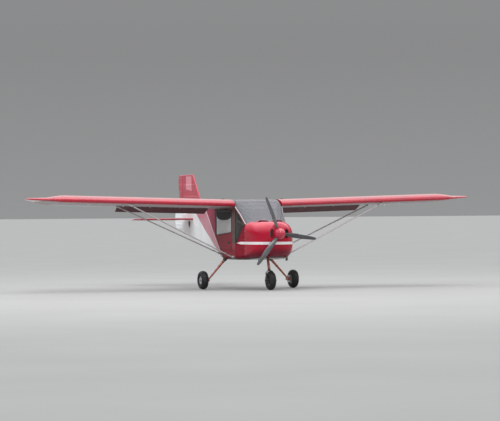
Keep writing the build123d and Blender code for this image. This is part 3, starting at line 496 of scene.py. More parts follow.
def basis(d):
    d = Vector(d).normalized()
    up = Vector((0, 0, 1)) if abs(d.z) < 0.9 else Vector((1, 0, 0))
    a = d.cross(up).normalized()
    return d, a, d.cross(a).normalized()


def lathe(origin, axis, profile, n=32, closed=False):
    """profile: (height along axis, radius) pairs. closed joins the last to the first, as for a ring."""
    d, a, b = basis(axis)
    o = Vector(origin)
    loops = []
    for h, r in profile:
        r = max(r, 1e-5)
        loops.append([o + d * h + (a * math.cos(t) + b * math.sin(t)) * r for t in (2 * math.pi * i / n for i in range(n))])
    if closed:
        loops.append(loops[0])
    v, f, m = rings(loops, True, not closed, not closed)
    return v, f


def tube(points, r, n=10, caps=True, flat=1.0):
    """Round bar along points; r may be a list."""
    pts = [Vector(p) for p in points]
    rs = r if isinstance(r, (list, tuple)) else [r] * len(pts)
    loops, a = [], None
    for i, p in enumerate(pts):
        t = (pts[min(i + 1, len(pts) - 1)] - pts[max(i - 1, 0)]).normalized()
        if a is None:
            _, a, _ = basis(t)
        a = (a - t * a.dot(t)).normalized()
        b = t.cross(a)
        loops.append([p + (a * math.cos(q) + b * math.sin(q) * flat) * rs[i] for q in (2 * math.pi * k / n for k in range(n))])
    v, f, m = rings(loops, True, caps, caps)
    return v, f


def bend(points, k=6):
    """Smooth line through points (Catmull-Rom)."""
    p = [Vector(q) for q in points]
    p = [p[0] * 2 - p[1]] + p + [p[-1] * 2 - p[-2]]
    out = []
    for i in range(1, len(p) - 2):
        for s in range(k):
            t = s / k
            a, b, c, d = p[i - 1], p[i], p[i + 1], p[i + 2]
            out.append(0.5 * ((2 * b) + (c - a) * t + (2 * a - 5 * b + 4 * c - d) * t * t + (3 * b - a - 3 * c + d) * t ** 3))
    out.append(p[-2])
    return out


def block(c, size, bevel=0.002, axes=None):
    """Box with bevelled edges, centred on c. axes: three unit vectors."""
    ax = [Vector(a) for a in (axes or ((1, 0, 0), (0, 1, 0), (0, 0, 1)))]
    h = [s / 2 for s in size]
    b = min(bevel, min(h) * 0.45)
    c = Vector(c)

    def loop(z, inset):
        x, y = h[0] - inset, h[1] - inset
        q = b
        pts = [(x - q, -y), (x, -y + q), (x, y - q), (x - q, y), (-x + q, y), (-x, y - q), (-x, -y + q), (-x + q, -y)]
        return [c + ax[0] * u + ax[1] * v + ax[2] * z for u, v in pts]

    v, f, m = rings([loop(-h[2], b), loop(-h[2] + b, 0), loop(h[2] - b, 0), loop(h[2], b)])
    return v, f


def hexbolt(p, axis, r=0.008, h=0.005, shank=0.0):
    """Hexagon head on a washer, seated at p."""
    d, a, b = basis(axis)
    p = Vector(p)
    v, f = lathe(p, d, [(0, r * 1.35), (r * 0.22, r * 1.35)], 16)
    loops = []
    for hh, k in ((r * 0.22, 1.0), (r * 0.22 + h * 0.8, 1.0), (r * 0.22 + h, 0.86)):
        loops.append([p + d * hh + (a * math.cos(t) + b * math.sin(t)) * r * k for t in (math.pi / 3 * i for i in range(6))])
    v2, f2, _ = rings(loops)
    n = len(v)
    return v + v2, f + [[n + j for j in fc] for fc in f2]


def dome(p, axis, r=0.006, h=0.002, n=12):
    return lathe(p, axis, [(0, r), (h * 0.55, r * 0.9), (h * 0.9, r * 0.55), (h, r * 0.1)], n)


def arc3(p0, p1, p2, n0, n1):
    """Points on the arc through p0, p1 and p2: n0 spans to p1, n1 more to p2."""
    (x0, y0), (x1, y1), (x2, y2) = p0, p1, p2
    a = np.array([[x1 - x0, y1 - y0], [x2 - x0, y2 - y0]]) * 2
    b = np.array([x1 * x1 - x0 * x0 + y1 * y1 - y0 * y0, x2 * x2 - x0 * x0 + y2 * y2 - y0 * y0])
    cx, cy = np.linalg.solve(a, b)
    r = math.hypot(x0 - cx, y0 - cy)
    t = [math.atan2(y - cy, x - cx) for x, y in (p0, p1, p2)]
    for i in (1, 2):
        while t[i] - t[i - 1] > math.pi:
            t[i] -= 2 * math.pi
        while t[i] - t[i - 1] < -math.pi:
            t[i] += 2 * math.pi
    q = list(np.linspace(t[0], t[1], n0 + 1)) + list(np.linspace(t[1], t[2], n1 + 1))[1:]
    return [(cx + r * math.cos(s), cy + r * math.sin(s)) for s in q]


def smooth_table(xs, ys, x):
    """Monotone cubic through (xs, ys)."""
    xs, ys = np.array(xs, float), np.array(ys, float)
    h, d = np.diff(xs), np.diff(ys) / np.diff(xs)
    m = np.zeros(len(xs))
    m[0], m[-1] = d[0], d[-1]
    for i in range(1, len(xs) - 1):
        m[i] = 0 if d[i - 1] * d[i] <= 0 else 2 * d[i - 1] * d[i] / (d[i - 1] + d[i])
    i = int(np.clip(np.searchsorted(xs, x) - 1, 0, len(xs) - 2))
    t = (x - xs[i]) / h[i]
    return float(
        (2 * t ** 3 - 3 * t ** 2 + 1) * ys[i] + (t ** 3 - 2 * t ** 2 + t) * h[i] * m[i]
        + (-2 * t ** 3 + 3 * t ** 2) * ys[i + 1] + (t ** 3 - t ** 2) * h[i] * m[i + 1]
    )


# ------------------------------------------------------------------ wings
CHORD, ROOT_Y, TE_CORNER_Y, KINK_Y, TIP_Y, TIP_LE_F = 1.300, 0.537, 4.250, 4.460, 5.030, -0.270
WING_LE_Z = 1.775
INC, DIH = rad(4.0), rad(1.61)
HINGE = (1.007 / CHORD, 0.022 / CHORD)
COVE_R, NOSE_R = 0.050 / CHORD, 0.036 / CHORD
FLAP_Y, AILERON_Y, GAP_Y = (0.760, 2.770), (2.830, 4.195), 0.008
FLAP_REST = rad(22.0)
BAND_UP, BAND_LOW = 0.235, 0.040      # the red leading edge band, as shares of the chord

LE_UP = arc3((0.022, -0.024), (0, 0.004), (0.022, 0.038), 4, 4)[4:]
LE_LOW = arc3((0.022, -0.024), (0, 0.004), (0.022, 0.038), 4, 4)[:5][::-1]
_up = arc3((0.022, 0.038), (0.13, 0.083), (0.30, 0.098), 40, 40) + arc3((0.30, 0.098), (0.65, 0.067), (1, 0.003), 60, 60)[1:]
_low = arc3((0.022, -0.024), (0.06, -0.0325), (0.13, -0.035), 30, 30) + [(1, -0.003)]
UPX, UPY = np.array(_up).T
LOX, LOY = np.array(_low).T


def up_v(u):
    return float(np.interp(u, UPX, UPY))


def low_v(u):
    return float(np.interp(u, LOX, LOY))


def skin_end(fn):
    """Chordwise place where a skin stops, at the hollow round a surface's nose."""
    best = None
    for u in np.linspace(HINGE[0] - 0.05, HINGE[0], 400):
        if math.hypot(u - HINGE[0], fn(u) - HINGE[1]) > COVE_R:
            best = u
    return best if best is not None else HINGE[0] - 0.02


UE_UP, UE_LOW = skin_end(up_v), skin_end(low_v)
U_UP = [0.030, 0.042, 0.056, 0.074, 0.095, 0.12, 0.15, 0.18, 0.21, BAND_UP, 0.27, 0.31, 0.36, 0.41, 0.46, 0.51, 0.56, 0.61, 0.66, 0.70, UE_UP]
U_LOW = [0.030, BAND_LOW, 0.055, 0.08, 0.11, 0.14, 0.17, 0.21, 0.26, 0.32, 0.38, 0.44, 0.50, 0.56, 0.62, 0.67, 0.71, UE_LOW]


def wing_place(y, u, v, le_f=0.0, chord=CHORD, lift=0.0):
    """u, v are shares of the chord; y is the span, negative on the right."""
    z = WING_LE_Z + math.tan(DIH) * abs(y) + le_f * math.sin(INC) + lift
    a, b = u * chord, v * chord
    return Vector((DX + le_f - a * math.cos(INC) - b * math.sin(INC), y, z - a * math.sin(INC) + b * math.cos(INC)))


def sag_up(u):
    return 0.0030 / CHORD * max(0.0, min(1.0, (u - 0.22) / 0.08)) * max(0.0, min(1.0, (0.985 - u) / 0.08))


def sag_low(u):
    return 0.0026 / CHORD * max(0.0, min(1.0, (u - 0.10) / 0.10)) * max(0.0, min(1.0, (0.985 - u) / 0.08))


def section(kind, w, lift):
    """Closed loop of (u, v). w is the fabric's sag, 0 on a rib; lift raises the rib tape."""
    up = [(u, v) for u, v in LE_UP] + [(u, up_v(u) - sag_up(u) * w + (lift if u > BAND_UP - 1e-6 else 0)) for u in U_UP]
    low = [(u, low_v(u) + sag_low(u) * w - (lift if u > BAND_LOW + 1e-6 else 0)) for u in U_LOW[::-1]] + [(u, v) for u, v in LE_LOW[::-1]][:-1]
    if kind == "full":
        ua = np.linspace(UE_UP, 1, 8)[1:]
        la = np.linspace(1, UE_LOW, 8)[:-1]
        aft = [(u, up_v(u) - sag_up(u) * w) for u in ua] + [(u, low_v(u) + sag_low(u) * w) for u in la]
    else:
        a0 = math.atan2(up_v(UE_UP) - HINGE[1], UE_UP - HINGE[0])
        a1 = math.atan2(low_v(UE_LOW) - HINGE[1], UE_LOW - HINGE[0]) + 2 * math.pi
        aft = [(HINGE[0] + COVE_R * math.cos(t), HINGE[1] + COVE_R * math.sin(t)) for t in np.linspace(a0, a1, 16)[1:-1]]
    return up + aft + low


N_UP = len(LE_UP) + len(U_UP)
N_AFT = 14


def bays(y0, y1, count):
    """Stations between ribs: (y, sag weight, tape lift)."""
    out = []
    step = (y1 - y0) / count
    for i in range(count):
        a = y0 + i * step
        for t in (0.0, 0.0125, 0.0135, 0.04, 0.08, 0.13, step / 2, step - 0.13, step - 0.08, step - 0.04, step - 0.0135, step - 0.0125):
            s = t / step
            if t > step:
                continue
            w = 1 - abs(2 * s - 1) ** 2.4
            out.append((a + t, max(0.0, w), 0.0008 / CHORD if t <= 0.0125 or t >= step - 0.0126 else 0.0))
    out.append((y1, 0.0, 0.0008 / CHORD))
    return sorted(set(out))


def wing_mat(j, taped):
    """Material of the strip after loop point j: 0 red band, 1 white fabric, 2 tape, 3 underside fabric, darkened as
    painted shade.
    """
    if j < N_UP - 1:
        u = ([p[0] for p in LE_UP] + U_UP)[j]
        return 0 if u < BAND_UP - 1e-6 else (2 if taped else 1)
    if j < N_UP + N_AFT:
        return 1
    k = j - (N_UP + N_AFT)
    us = U_LOW[::-1]
    if k < len(us) - 1:
        u = us[k + 1]
        return 0 if u < BAND_LOW - 1e-6 else 3
    return 0


def build_wing(side, name):
    sign = 1 if side == "left" else -1
    bag = Bag()
    zones = [(ROOT_Y, 0.752, "full", 1), (0.752, 2.778, "bay", 7), (2.778, 2.822, "full", 1), (2.822, 4.203, "bay", 5), (4.203, TE_CORNER_Y, "full", 1)]
    loops, marks = [], []
    for y0, y1, kind, count in zones:
        st = bays(y0, y1, count) if y1 - y0 > 0.2 else [(y0, 0.0, 0.0), (y1, 0.0, 0.0)]
        for y, w, lift in st:
            loops.append([wing_place(sign * y, u, v) for u, v in section(kind, w, lift)])
            marks.append(lift > 0)
    v, f, m = rings(loops, mat=lambda i, j: wing_mat(j, marks[i] and marks[min(i + 1, len(marks) - 1)]))
    bag.put(v, f, m)
    ob = bag.make(name, "airframe", ["edge_band", "white_fabric", "tape", "underside_shaded_fabric"], "fabric_skin", 30, weld=0.00002)
    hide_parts(side + "_wing")
    return ob


def surface_loop(w, lift, le=0.0):
    """Aileron or flap section: round nose about the hinge, then skins to the trailing edge."""
    def on(fn, k):
        for u in np.linspace(HINGE[0] - NOSE_R, HINGE[0] + 0.02, 600):
            if math.hypot(u - HINGE[0], fn(u) - HINGE[1]) >= NOSE_R and u > HINGE[0] - 0.01:
                return u
        return HINGE[0]
    uu, ul = on(up_v, 1), on(low_v, -1)
    us = [uu + (1 - uu) * t for t in (0.0, 0.06, 0.14, 0.25, 0.4, 0.55, 0.7, 0.82, 0.92, 0.98, 1.0)]
    ls = [ul + (1 - ul) * t for t in (0.0, 0.06, 0.14, 0.25, 0.4, 0.55, 0.7, 0.82, 0.92, 0.98, 1.0)]
    s_u = [0.0022 / CHORD * min(1, t * 5) * min(1, (1 - t) * 6) for t in (0.0, 0.06, 0.14, 0.25, 0.4, 0.55, 0.7, 0.82, 0.92, 0.98, 1.0)]
    up = [(u, up_v(u) - s * w + lift * (0 < t < 10)) for t, (u, s) in enumerate(zip(us, s_u))]
    low = [(u, low_v(u) + s * w - lift * (0 < t < 10)) for t, (u, s) in enumerate(zip(ls, s_u))][::-1]
    a0 = math.atan2(low[-1][1] - HINGE[1], low[-1][0] - HINGE[0]) % (2 * math.pi)
    a1 = math.atan2(up[0][1] - HINGE[1], up[0][0] - HINGE[0]) % (2 * math.pi)
    nose = [(HINGE[0] + NOSE_R * math.cos(t), HINGE[1] + NOSE_R * math.sin(t)) for t in np.linspace(a0, a1, 14)[1:-1]]
    return up + low + nose


def build_surface(side, kind, span, count, mats, slot, drop):
    sign = 1 if side == "left" else -1
    loops, marks = [], []
    for y, w, lift in bays(span[0] + 0.0005, span[1] - 0.0005, count):
        lp = []
        for u, v in surface_loop(w, lift):
            du, dv = u - HINGE[0], v - HINGE[1]
            cu, cv = du * math.cos(drop) + dv * math.sin(drop), -du * math.sin(drop) + dv * math.cos(drop)
            lp.append(wing_place(sign * y, HINGE[0] + cu, HINGE[1] + cv))
        loops.append(lp)
        marks.append(lift > 0)
    v, f, m = rings(loops, mat=lambda i, j: 1 if marks[i] and marks[min(i + 1, len(marks) - 1)] and j not in range(21, 60) else 0)
    ob = Bag().put(v, f, m).make(f"{side}_{kind}_covering", f"{side}_{kind}_surface", mats, slot, 30, weld=0.00002)
    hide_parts(f"{side}_{kind}")
    return ob


for side in ("left", "right"):
    build_wing(side, side + "_wing_covering")
    build_surface(side, "flap", FLAP_Y, 7, ["flap_fabric_painted_shade", "flap_fabric_painted_shade"], "red_fabric", FLAP_REST)
    build_surface(side, "aileron", AILERON_Y, 5, ["white_fabric", "tape"], "red_fabric", 0.0)

# wing tips: moulded bows, red above and at the edge, pale below in the underside fabric with its painted shade
TIP = [
    (4.251, 0.0, 1.300, 1.0, 0.0), (4.36, 0.0, 1.170, 0.98, 0.0), (4.46, 0.0, 1.046, 0.90, 0.002), (4.60, -0.067, 0.830, 0.80, 0.006),
    (4.80, -0.162, 0.520, 0.90, 0.016), (5.03, -0.27, 0.110, 1.2, 0.030),
]
TIP_UP = [0.030, 0.05, 0.08, 0.12, 0.17, 0.235, 0.31, 0.40, 0.50, 0.60, 0.70, 0.80, 0.90, 0.965, 1.0]
TIP_LOW = [0.030, 0.040, 0.07, 0.12, 0.20, 0.30, 0.40, 0.50, 0.60, 0.70, 0.80, 0.90, 0.965, 1.0]


def tip_row(y):
    ys = [t[0] for t in TIP]
    le, ch, th, li = (float(np.interp(y, ys, [t[k] for t in TIP])) for k in (1, 2, 3, 4))
    if y > 4.70:
        # a soft, rounded outer end in place of a corner
        ch = smooth_table([4.70, 4.86, 4.97, 5.03], [float(np.interp(4.70, ys, [t[2] for t in TIP])), 0.415, 0.250, 0.100], y)
    return le, ch, th, li


bag = Bag()
loops = []
tip_stations = [4.251, 4.262, 4.30, 4.34, 4.38, 4.41, 4.43, 4.445, 4.46, 4.475, 4.50, 4.55, 4.60, 4.66, 4.72, 4.78, 4.84, 4.90, 4.94, 4.97, 4.995, 5.012]
for y in tip_stations:
    le, ch, th, li = tip_row(y)
    pts = [(u, v * th) for u, v in LE_UP] + [(u, up_v(u) * th) for u in TIP_UP] + [(u, low_v(u) * th) for u in TIP_LOW[::-1]] + [(u, v * th) for u, v in LE_LOW[::-1]][:-1]
    loops.append([wing_place(y, u, v, le, ch, li) for u, v in pts])
le, ch, th, li = tip_row(5.03)
for y, k in ((5.022, 0.80), (5.028, 0.50), (5.030, 0.15)):
    c = wing_place(y, 0.5, 0.02, le, ch, li)
    loops.append([c + (Vector((p.x, y, p.z)) - Vector((c.x, y, c.z))) * k for p in loops[len(tip_stations) - 1]])
nu = len(LE_UP) + len(TIP_UP)
nl = len(TIP_LOW)
v, f, m = rings(loops, mat=lambda i, j: 1 if nu <= j < nu + nl - 2 and i < 14 else 0)
bag.put(v, f, m)
tips = bag.mirrored().make("wing_tip_bows", "airframe", ["edge_band", "underside_shaded_fabric"], "red_composite", 35)
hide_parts("wing_tips")

# ------------------------------------------------------------------ engine cowling
PROP_Z = 1.180
COWL = [
    (0.400, 0.480, 0.640, 1.415, 0.110, 0.150), (0.750, 0.447, 0.668, 1.428, 0.195, 0.255), (0.940, 0.388, 0.740, 1.424, 0.225, 0.275),
    (1.080, 0.292, 0.862, 1.412, 0.225, 0.262), (1.150, 0.214, 0.962, 1.392, 0.206, 0.206),
]
COWL_C = 1.178
COWL_SPLIT = 0.985


def rounded(hw, z0, z1, r0, r1, n=24):
    """Section outline from bottom middle round the left side to top middle and back, as (y, z)."""
    pts = []
    for t in np.linspace(0, 1, 12)[:-1]:
        pts.append((t * (hw - r0), z0))
    for t in np.linspace(-90, 0, n):
        pts.append((hw - r0 + r0 * math.cos(rad(t)), z0 + r0 + r0 * math.sin(rad(t))))
    for t in np.linspace(0, 1, 14)[1:-1]:
        pts.append((hw, z0 + r0 + t * (z1 - r1 - z0 - r0)))
    for t in np.linspace(0, 90, n):
        pts.append((hw - r1 + r1 * math.cos(rad(t)), z1 - r1 + r1 * math.sin(rad(t))))
    for t in np.linspace(1, 0, 12)[1:]:
        pts.append((t * (hw - r1), z1))
    return pts + [(-y, z) for y, z in pts[-2:0:-1]]


NT = 144
THETA = [2 * math.pi * (i + 0.5) / NT for i in range(NT)]      # 0 towards +Y, going up


def polar_loop(outline, cz):
    a = np.array([math.atan2(z - cz, y) % (2 * math.pi) for y, z in outline])
    r = np.array([math.hypot(y, z - cz) for y, z in outline])
    o = np.argsort(a)
    a, r = a[o], r[o]
    a = np.concatenate([a - 2 * math.pi, a, a + 2 * math.pi])
    r = np.concatenate([r, r, r])
    return np.interp(THETA, a, r)


def cowl_radius(f):
    row = [smooth_table([c[0] for c in COWL], [c[k] for c in COWL], f) for k in range(1, 6)]
    hw, z0, z1, r0, r1 = row
    return polar_loop(rounded(hw, z0, z1, r0, r1), COWL_C)


cowl_rings = []
for f in (0.400, 0.43, 0.47, 0.52, 0.58, 0.64, 0.70, 0.75, 0.79, 0.83, 0.87, 0.90, 0.93, 0.96, 0.985, 1.01, 1.03, 1.05, 1.07, 1.085, 1.10, 1.112, 1.122):
    cowl_rings.append((f, cowl_radius(f)))
base_r = cowl_radius(1.122)
# the rounded lip into the nose face, then the face itself down to the spinner ring
# beside the spinner the lip is rolled round the inlets; above and below it runs smoothly into the nose
level = np.array([abs((t + math.pi / 2) % math.pi - math.pi / 2) for t in THETA])
level = np.clip((rad(58) - level) / rad(24), 0, 1)
level = level * level * (3 - 2 * level)
for f, fs, k, circle, rc_ in (
    (1.131, 1.1285, 0.975, 0.12, 0.232), (1.140, 1.1345, 0.945, 0.35, 0.230), (1.148, 1.1392, 0.91, 0.62, 0.226),
    (1.154, 1.1428, 0.87, 0.86, 0.220), (1.1585, 1.1455, 0.84, 1.0, 0.2145),
):
    cowl_rings.append((fs + (f - fs) * level, base_r * k * (1 - circle) + rc_ * circle))
FACE_R = [0.2090, 0.1980, 0.1860, 0.1735, 0.1610, 0.1490, 0.1380, 0.1285]
FACE_F = [1.1478, 1.1503, 1.1527, 1.1548, 1.1565, 1.1579, 1.1589, 1.1594]
for i, r in enumerate(FACE_R):
    cowl_rings.append((FACE_F[i] + (1.1575 + 0.0018 * (i == 0) - FACE_F[i]) * level, np.full(NT, r)))
for f, r in ((1.1587, 0.1255), (1.1567, 0.1222), (1.152, 0.1208), (1.135, 0.1205)):
    cowl_rings.append((f, np.full(NT, r)))
cowl_rings = [(np.full(NT, f) if isinstance(f, float) else f, r) for f, r in cowl_rings]
first_face = len(cowl_rings) - len(FACE_R) - 4
verts = []
for ff, rr in cowl_rings:
    verts.append([Vector((DX + f, r * math.cos(t), COWL_C + r * math.sin(t))) for f, r, t in zip(ff, rr, THETA)])
# air inlets: crescents beside the spinner, in ring rows i0 to i1 and angles within 31 degrees of level
i0, i1 = first_face, first_face + len(FACE_R) - 1
half_open = rad(32.0)
rc, rh = (FACE_R[0] + FACE_R[-1]) / 2, (FACE_R[0] - FACE_R[-1]) / 2
holes = {}
for centre, tag in ((0.0, "left"), (math.pi, "right")):
    js = [j for j, t in enumerate(THETA) if abs((t - centre + math.pi) % (2 * math.pi) - math.pi) <= half_open]
    js.sort(key=lambda j: (THETA[j] - centre + math.pi) % (2 * math.pi))
    holes[tag] = js
    for i in range(i0, i1 + 1):
        for n_, j in enumerate(js):
            if i in (i0, i1) or n_ in (0, len(js) - 1):
                # pull the opening's edge on to a rounded outline
                t = (THETA[j] - centre + math.pi) % (2 * math.pi) - math.pi
                a, b = t / half_open, (FACE_R[i - i0] - rc) / rh
                s = (abs(a) ** 3.2 + abs(b) ** 3.2) ** (1 / 3.2)
                a, b = a / s, b / s
                r, t = rc + rh * b, centre + half_open * a
                verts[i][j] = Vector((DX + cowl_rings[i][0][j], r * math.cos(t), COWL_C + r * math.sin(t)))
faces = []
nr = len(verts)
for i in range(nr - 1):
    for j in range(NT):
        k = (j + 1) % NT
        hole = False
        if i0 <= i < i1:
            for js in holes.values():
                if j in js and k in js and abs(js.index(j) - js.index(k)) == 1:
                    hole = True
        if not hole:
            faces.append([i * NT + j, i * NT + k, (i + 1) * NT + k, (i + 1) * NT + j])
flat = [p for row in verts for p in row]
# the ducts behind the inlets
for tag, js in holes.items():
    rim = [i0 * NT + j for j in js] + [i * NT + js[-1] for i in range(i0 + 1, i1)] + [i1 * NT + j for j in js[::-1]] + [i * NT + js[0] for i in range(i1 - 1, i0, -1)]
    prev = rim
    mid = sum((flat[q] for q in rim), Vector()) / len(rim)
    for depth, k in ((0.004, 0.985), (0.012, 0.965), (0.035, 0.96), (0.070, 1.02)):
        new = []
        for q in rim:
            p = flat[q]
            new.append(len(flat))
            flat.append(Vector((p.x - depth, mid.y + (p.y - mid.y) * k, mid.z + (p.z - mid.z) * k)))
        for a in range(len(rim)):
            b = (a + 1) % len(rim)
            faces.append([prev[a], prev[b], new[b], new[a]])
        prev = new


def cowl_half(name, node, keep_up):
    bag = Bag().put(flat, faces)
    ob = bag.make(name, None, ["cowl"], None, 40)
    bm = bmesh.new()
    bm.from_mesh(ob.data)
    z = COWL_SPLIT + (0.0012 if keep_up else -0.0012)
    geom = bm.verts[:] + bm.edges[:] + bm.faces[:]
    bmesh.ops.bisect_plane(bm, geom=geom, plane_co=(0, 0, z), plane_no=(0, 0, 1), clear_inner=keep_up, clear_outer=not keep_up)
    bmesh.ops.recalc_face_normals(bm, faces=bm.faces)
    bm.to_mesh(ob.data)
    bm.free()
    s = ob.modifiers.new("wall", "SOLIDIFY")
    s.thickness, s.offset, s.use_even_offset = 0.0045, -1, False
    return ob


def cutter(verts_faces):
    v, f = verts_faces
    me = bpy.data.meshes.new("cut")
    me.from_pydata([tuple(p) for p in v], [], f)
    bm = bmesh.new()
    bm.from_mesh(me)
    bmesh.ops.recalc_face_normals(bm, faces=bm.faces)
    bm.to_mesh(me)
    bm.free()
    ob = bpy.data.objects.new("cut", me)
    scene.collection.objects.link(ob)
    return ob


def baked(ob, cuts=(), sharp=35.0):
    """Applies the modifiers and the cuts."""
    for c in cuts:
        b = ob.modifiers.new("cut", "BOOLEAN")
        b.operation, b.solver, b.object = "DIFFERENCE", "EXACT", c
    dg = bpy.context.evaluated_depsgraph_get()
    me = bpy.data.meshes.new_from_object(ob.evaluated_get(dg))
    ob.modifiers.clear()
    ob.data = me
    me.shade_smooth()
    me.set_sharp_from_angle(angle=rad(sharp))
    for c in cuts:
        bpy.data.objects.remove(c)
    return ob


upper = baked(cowl_half("upper_cowl_shell", "upper_cowl", True), [
    cutter(block((DX + 0.6225, s_ * 0.156, 1.44), (0.051, 0.236, 0.12), 0.006)) for s_ in (1, -1)
])
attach(upper, "airframe")
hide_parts("upper_cowl")
lower = cowl_half("lower_cowl_shell", "lower_cowl", False)
lower = baked(lower, [
    cutter(block((DX + 0.500, 0, 0.66), (0.280, 0.150, 0.16), 0.03)),
    cutter(lathe((DX + 0.780, 0.315, 0.60), (0, 0, 1), [(0, 0.038), (0.16, 0.038)], 32)),
])
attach(lower, "airframe")
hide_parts("lower_cowl")

# ------------------------------------------------------------------ helpers for strips, beads and fabric panels


def torus(loops):
    """Closed loops joined in a closed ring."""
    n, k = len(loops[0]), len(loops)
    faces = []
    for i in range(k):
        for j in range(n):
            a, b = (i + 1) % k, (j + 1) % n
            faces.append([i * n + j, i * n + b, a * n + b, a * n + j])
    return [p for lp in loops for p in lp], faces


def turned(origin, axis, profile, n=48):
    """A ring turned about an axis from a closed profile of (height, radius)."""
    d, a, b = basis(axis)
    o = Vector(origin)
    return torus([[o + d * h + (a * math.cos(t) + b * math.sin(t)) * r for h, r in profile] for t in (2 * math.pi * i / n for i in range(n))])


def strip(points, normals, w, t, n0=-0.001):
    """Moulded strip of width w, standing t above a surface with the given normals."""
    pts = [Vector(p) for p in points]
    loops = []
    for i, p in enumerate(pts):
        tan = (pts[min(i + 1, len(pts) - 1)] - pts[max(i - 1, 0)]).normalized()
        nn = Vector(normals[i] if isinstance(normals, list) else normals)
        nn = (nn - tan * nn.dot(tan)).normalized()
        side = nn.cross(tan)
        loops.append([p + side * (a * w) + nn * b for a, b in ((-0.5, n0), (-0.5, t * 0.55), (-0.38, t), (0.38, t), (0.5, t * 0.55), (0.5, n0))])
    v, f, m = rings(loops)
    return v, f


def hoop(points, normal, w, t, n=8):
    """Bead round a flat, closed outline: w wide in its plane, t high along the normal."""
    pts = [Vector(p) for p in points]
    nn = Vector(normal).normalized()
    k = len(pts)
    loops = []
    for i, p in enumerate(pts):
        tan = (pts[(i + 1) % k] - pts[i - 1]).normalized()
        side = nn.cross(tan)
        loops.append([p + side * (math.cos(q) * w / 2) + nn * (math.sin(q) * t / 2) for q in (2 * math.pi * j / n for j in range(n))])
    return torus(loops)


def round_poly(pts, r, n=6):
    """Corners of a flat polygon rounded to radius r."""
    out, k = [], len(pts)
    for i in range(k):
        p, a, b = Vector(pts[i]), Vector(pts[i - 1]), Vector(pts[(i + 1) % k])
        u, v = (a - p).normalized(), (b - p).normalized()
        half = math.acos(max(-1, min(1, u.dot(v)))) / 2
        rr = r[i] if isinstance(r, (list, tuple)) else r
        d = min(rr / math.tan(half), 0.48 * (a - p).length, 0.48 * (b - p).length)
        rr = d * math.tan(half)
        c = p + (u + v).normalized() * (rr / math.sin(half))
        for j in range(n + 1):
            q = (p + u * d - c).lerp(p + v * d - c, j / n)
            out.append(c + q.normalized() * rr)
    return out


def plate(outline, place, t, bevel=0.0):
    """Flat plate: outline of 2-D points, place(p, h) puts a point at height h."""
    b = bevel or t * 0.25
    c = sum((Vector(p) for p in outline), Vector((0, 0))) / len(outline)
    rim = [c + (Vector(p) - c) * (1 - b / max(1e-6, (Vector(p) - c).length)) for p in outline]
    v, f, m = rings([[place(p, 0) for p in rim], [place(p, b) for p in outline], [place(p, t - b) for p in outline], [place(p, t) for p in rim]])
    return v, f


CHORD_T = [0.0, 0.03, 0.08, 0.16, 0.28, 0.42, 0.58, 0.72, 0.84, 0.92, 0.97, 1.0]


def fabric_panel(place, le, te, s0, s1, ribs, r0, r1, sag=0.0035, notches=(), ends=(True, True), tape=0.0007):
    """Covered frame between spanwise s0 and s1. le(s), te(s): its edges; r0, r1: their tube radii.
    place(c, s, h) puts chordwise c, spanwise s and height h in space."""
    marks = sorted({s0, s1, *[r for r in ribs if s0 < r < s1]})
    st = []
    for a, b in zip(marks[:-1], marks[1:]):
        step = b - a
        for t in (0.0, 0.011, 0.012, 0.035, 0.08, step * 0.35, step * 0.5, step * 0.65, step - 0.08, step - 0.035, step - 0.012, step - 0.011):
            if 0 <= t < step:
                x = t / step
                on = (t <= 0.0112 or t >= step - 0.0112)
                st.append((a + t, max(0.0, 1 - abs(2 * x - 1) ** 2.2), tape if on else 0.0, 1.0, 0.0))
    st.append((s1, 0.0, tape, 1.0, 0.0))
    for n0, n1, depth in notches:
        st = [q for q in st if not n0 - 1e-4 < q[0] < n1 + 1e-4]
        for s, d in ((n0 - 1e-5, 0.0), (n0, depth), ((n0 + n1) / 2, depth), (n1, depth), (n1 + 1e-5, 0.0)):
            st.append((s, 0.0, 0.0, 1.0, d))
    st.sort(key=lambda q: q[0])
    r = max(r0, r1)
    rows = []
    rounding = ((0.0, 0.10), (0.06, 0.34), (0.20, 0.60), (0.45, 0.835), (0.75, 0.968))
    if ends[0]:
        rows += [(s0 + k * r, 0.0, 0.0, q, 0.0) for k, q in rounding]
        st = [q for q in st if q[0] > s0 + r * 0.95]
    if ends[1]:
        st = [q for q in st if q[0] < s1 - r * 0.95]
    rows += st
    if ends[1]:
        rows += [(s1 - k * r, 0.0, 0.0, q, 0.0) for k, q in rounding[::-1]]
    loops, taped = [], []
    for s, w, lift, q, notch in rows:
        a, b = le(s) - notch, te(s)
        ra, rb = (r0, r1) if not notch else (r0 * 0.8, r1)
        length = (a - b) - ra - rb
        loop = []
        for side in (1, -1):
            ts = CHORD_T if side == 1 else CHORD_T[::-1]
            for t in ts:
                bump = min(1.0, t / 0.13) * min(1.0, (1 - t) / 0.13)
                h = ra + (rb - ra) * t - sag * w * bump + lift * (0 < t < 1)
                loop.append(place(a - ra - length * t, s, side * h * q))
            edge = (rb, b + rb, -1) if side == 1 else (ra, a - ra, 1)
            for ang in (67.5, 45, 22.5, 0, -22.5, -45, -67.5):
                loop.append(place(edge[1] + edge[2] * edge[0] * math.cos(rad(ang)), s, side * math.sin(rad(ang)) * edge[0] * q))
        loops.append(loop)
        taped.append(lift > 0)
    return rings(loops, mat=lambda i, j: 1 if taped[i] and taped[min(i + 1, len(taped) - 1)] else 0)


def table(points):
    """Straight-line lookup through (s, value) pairs."""
    xs, ys = zip(*sorted(points))
    return lambda s: float(np.interp(s, xs, ys))


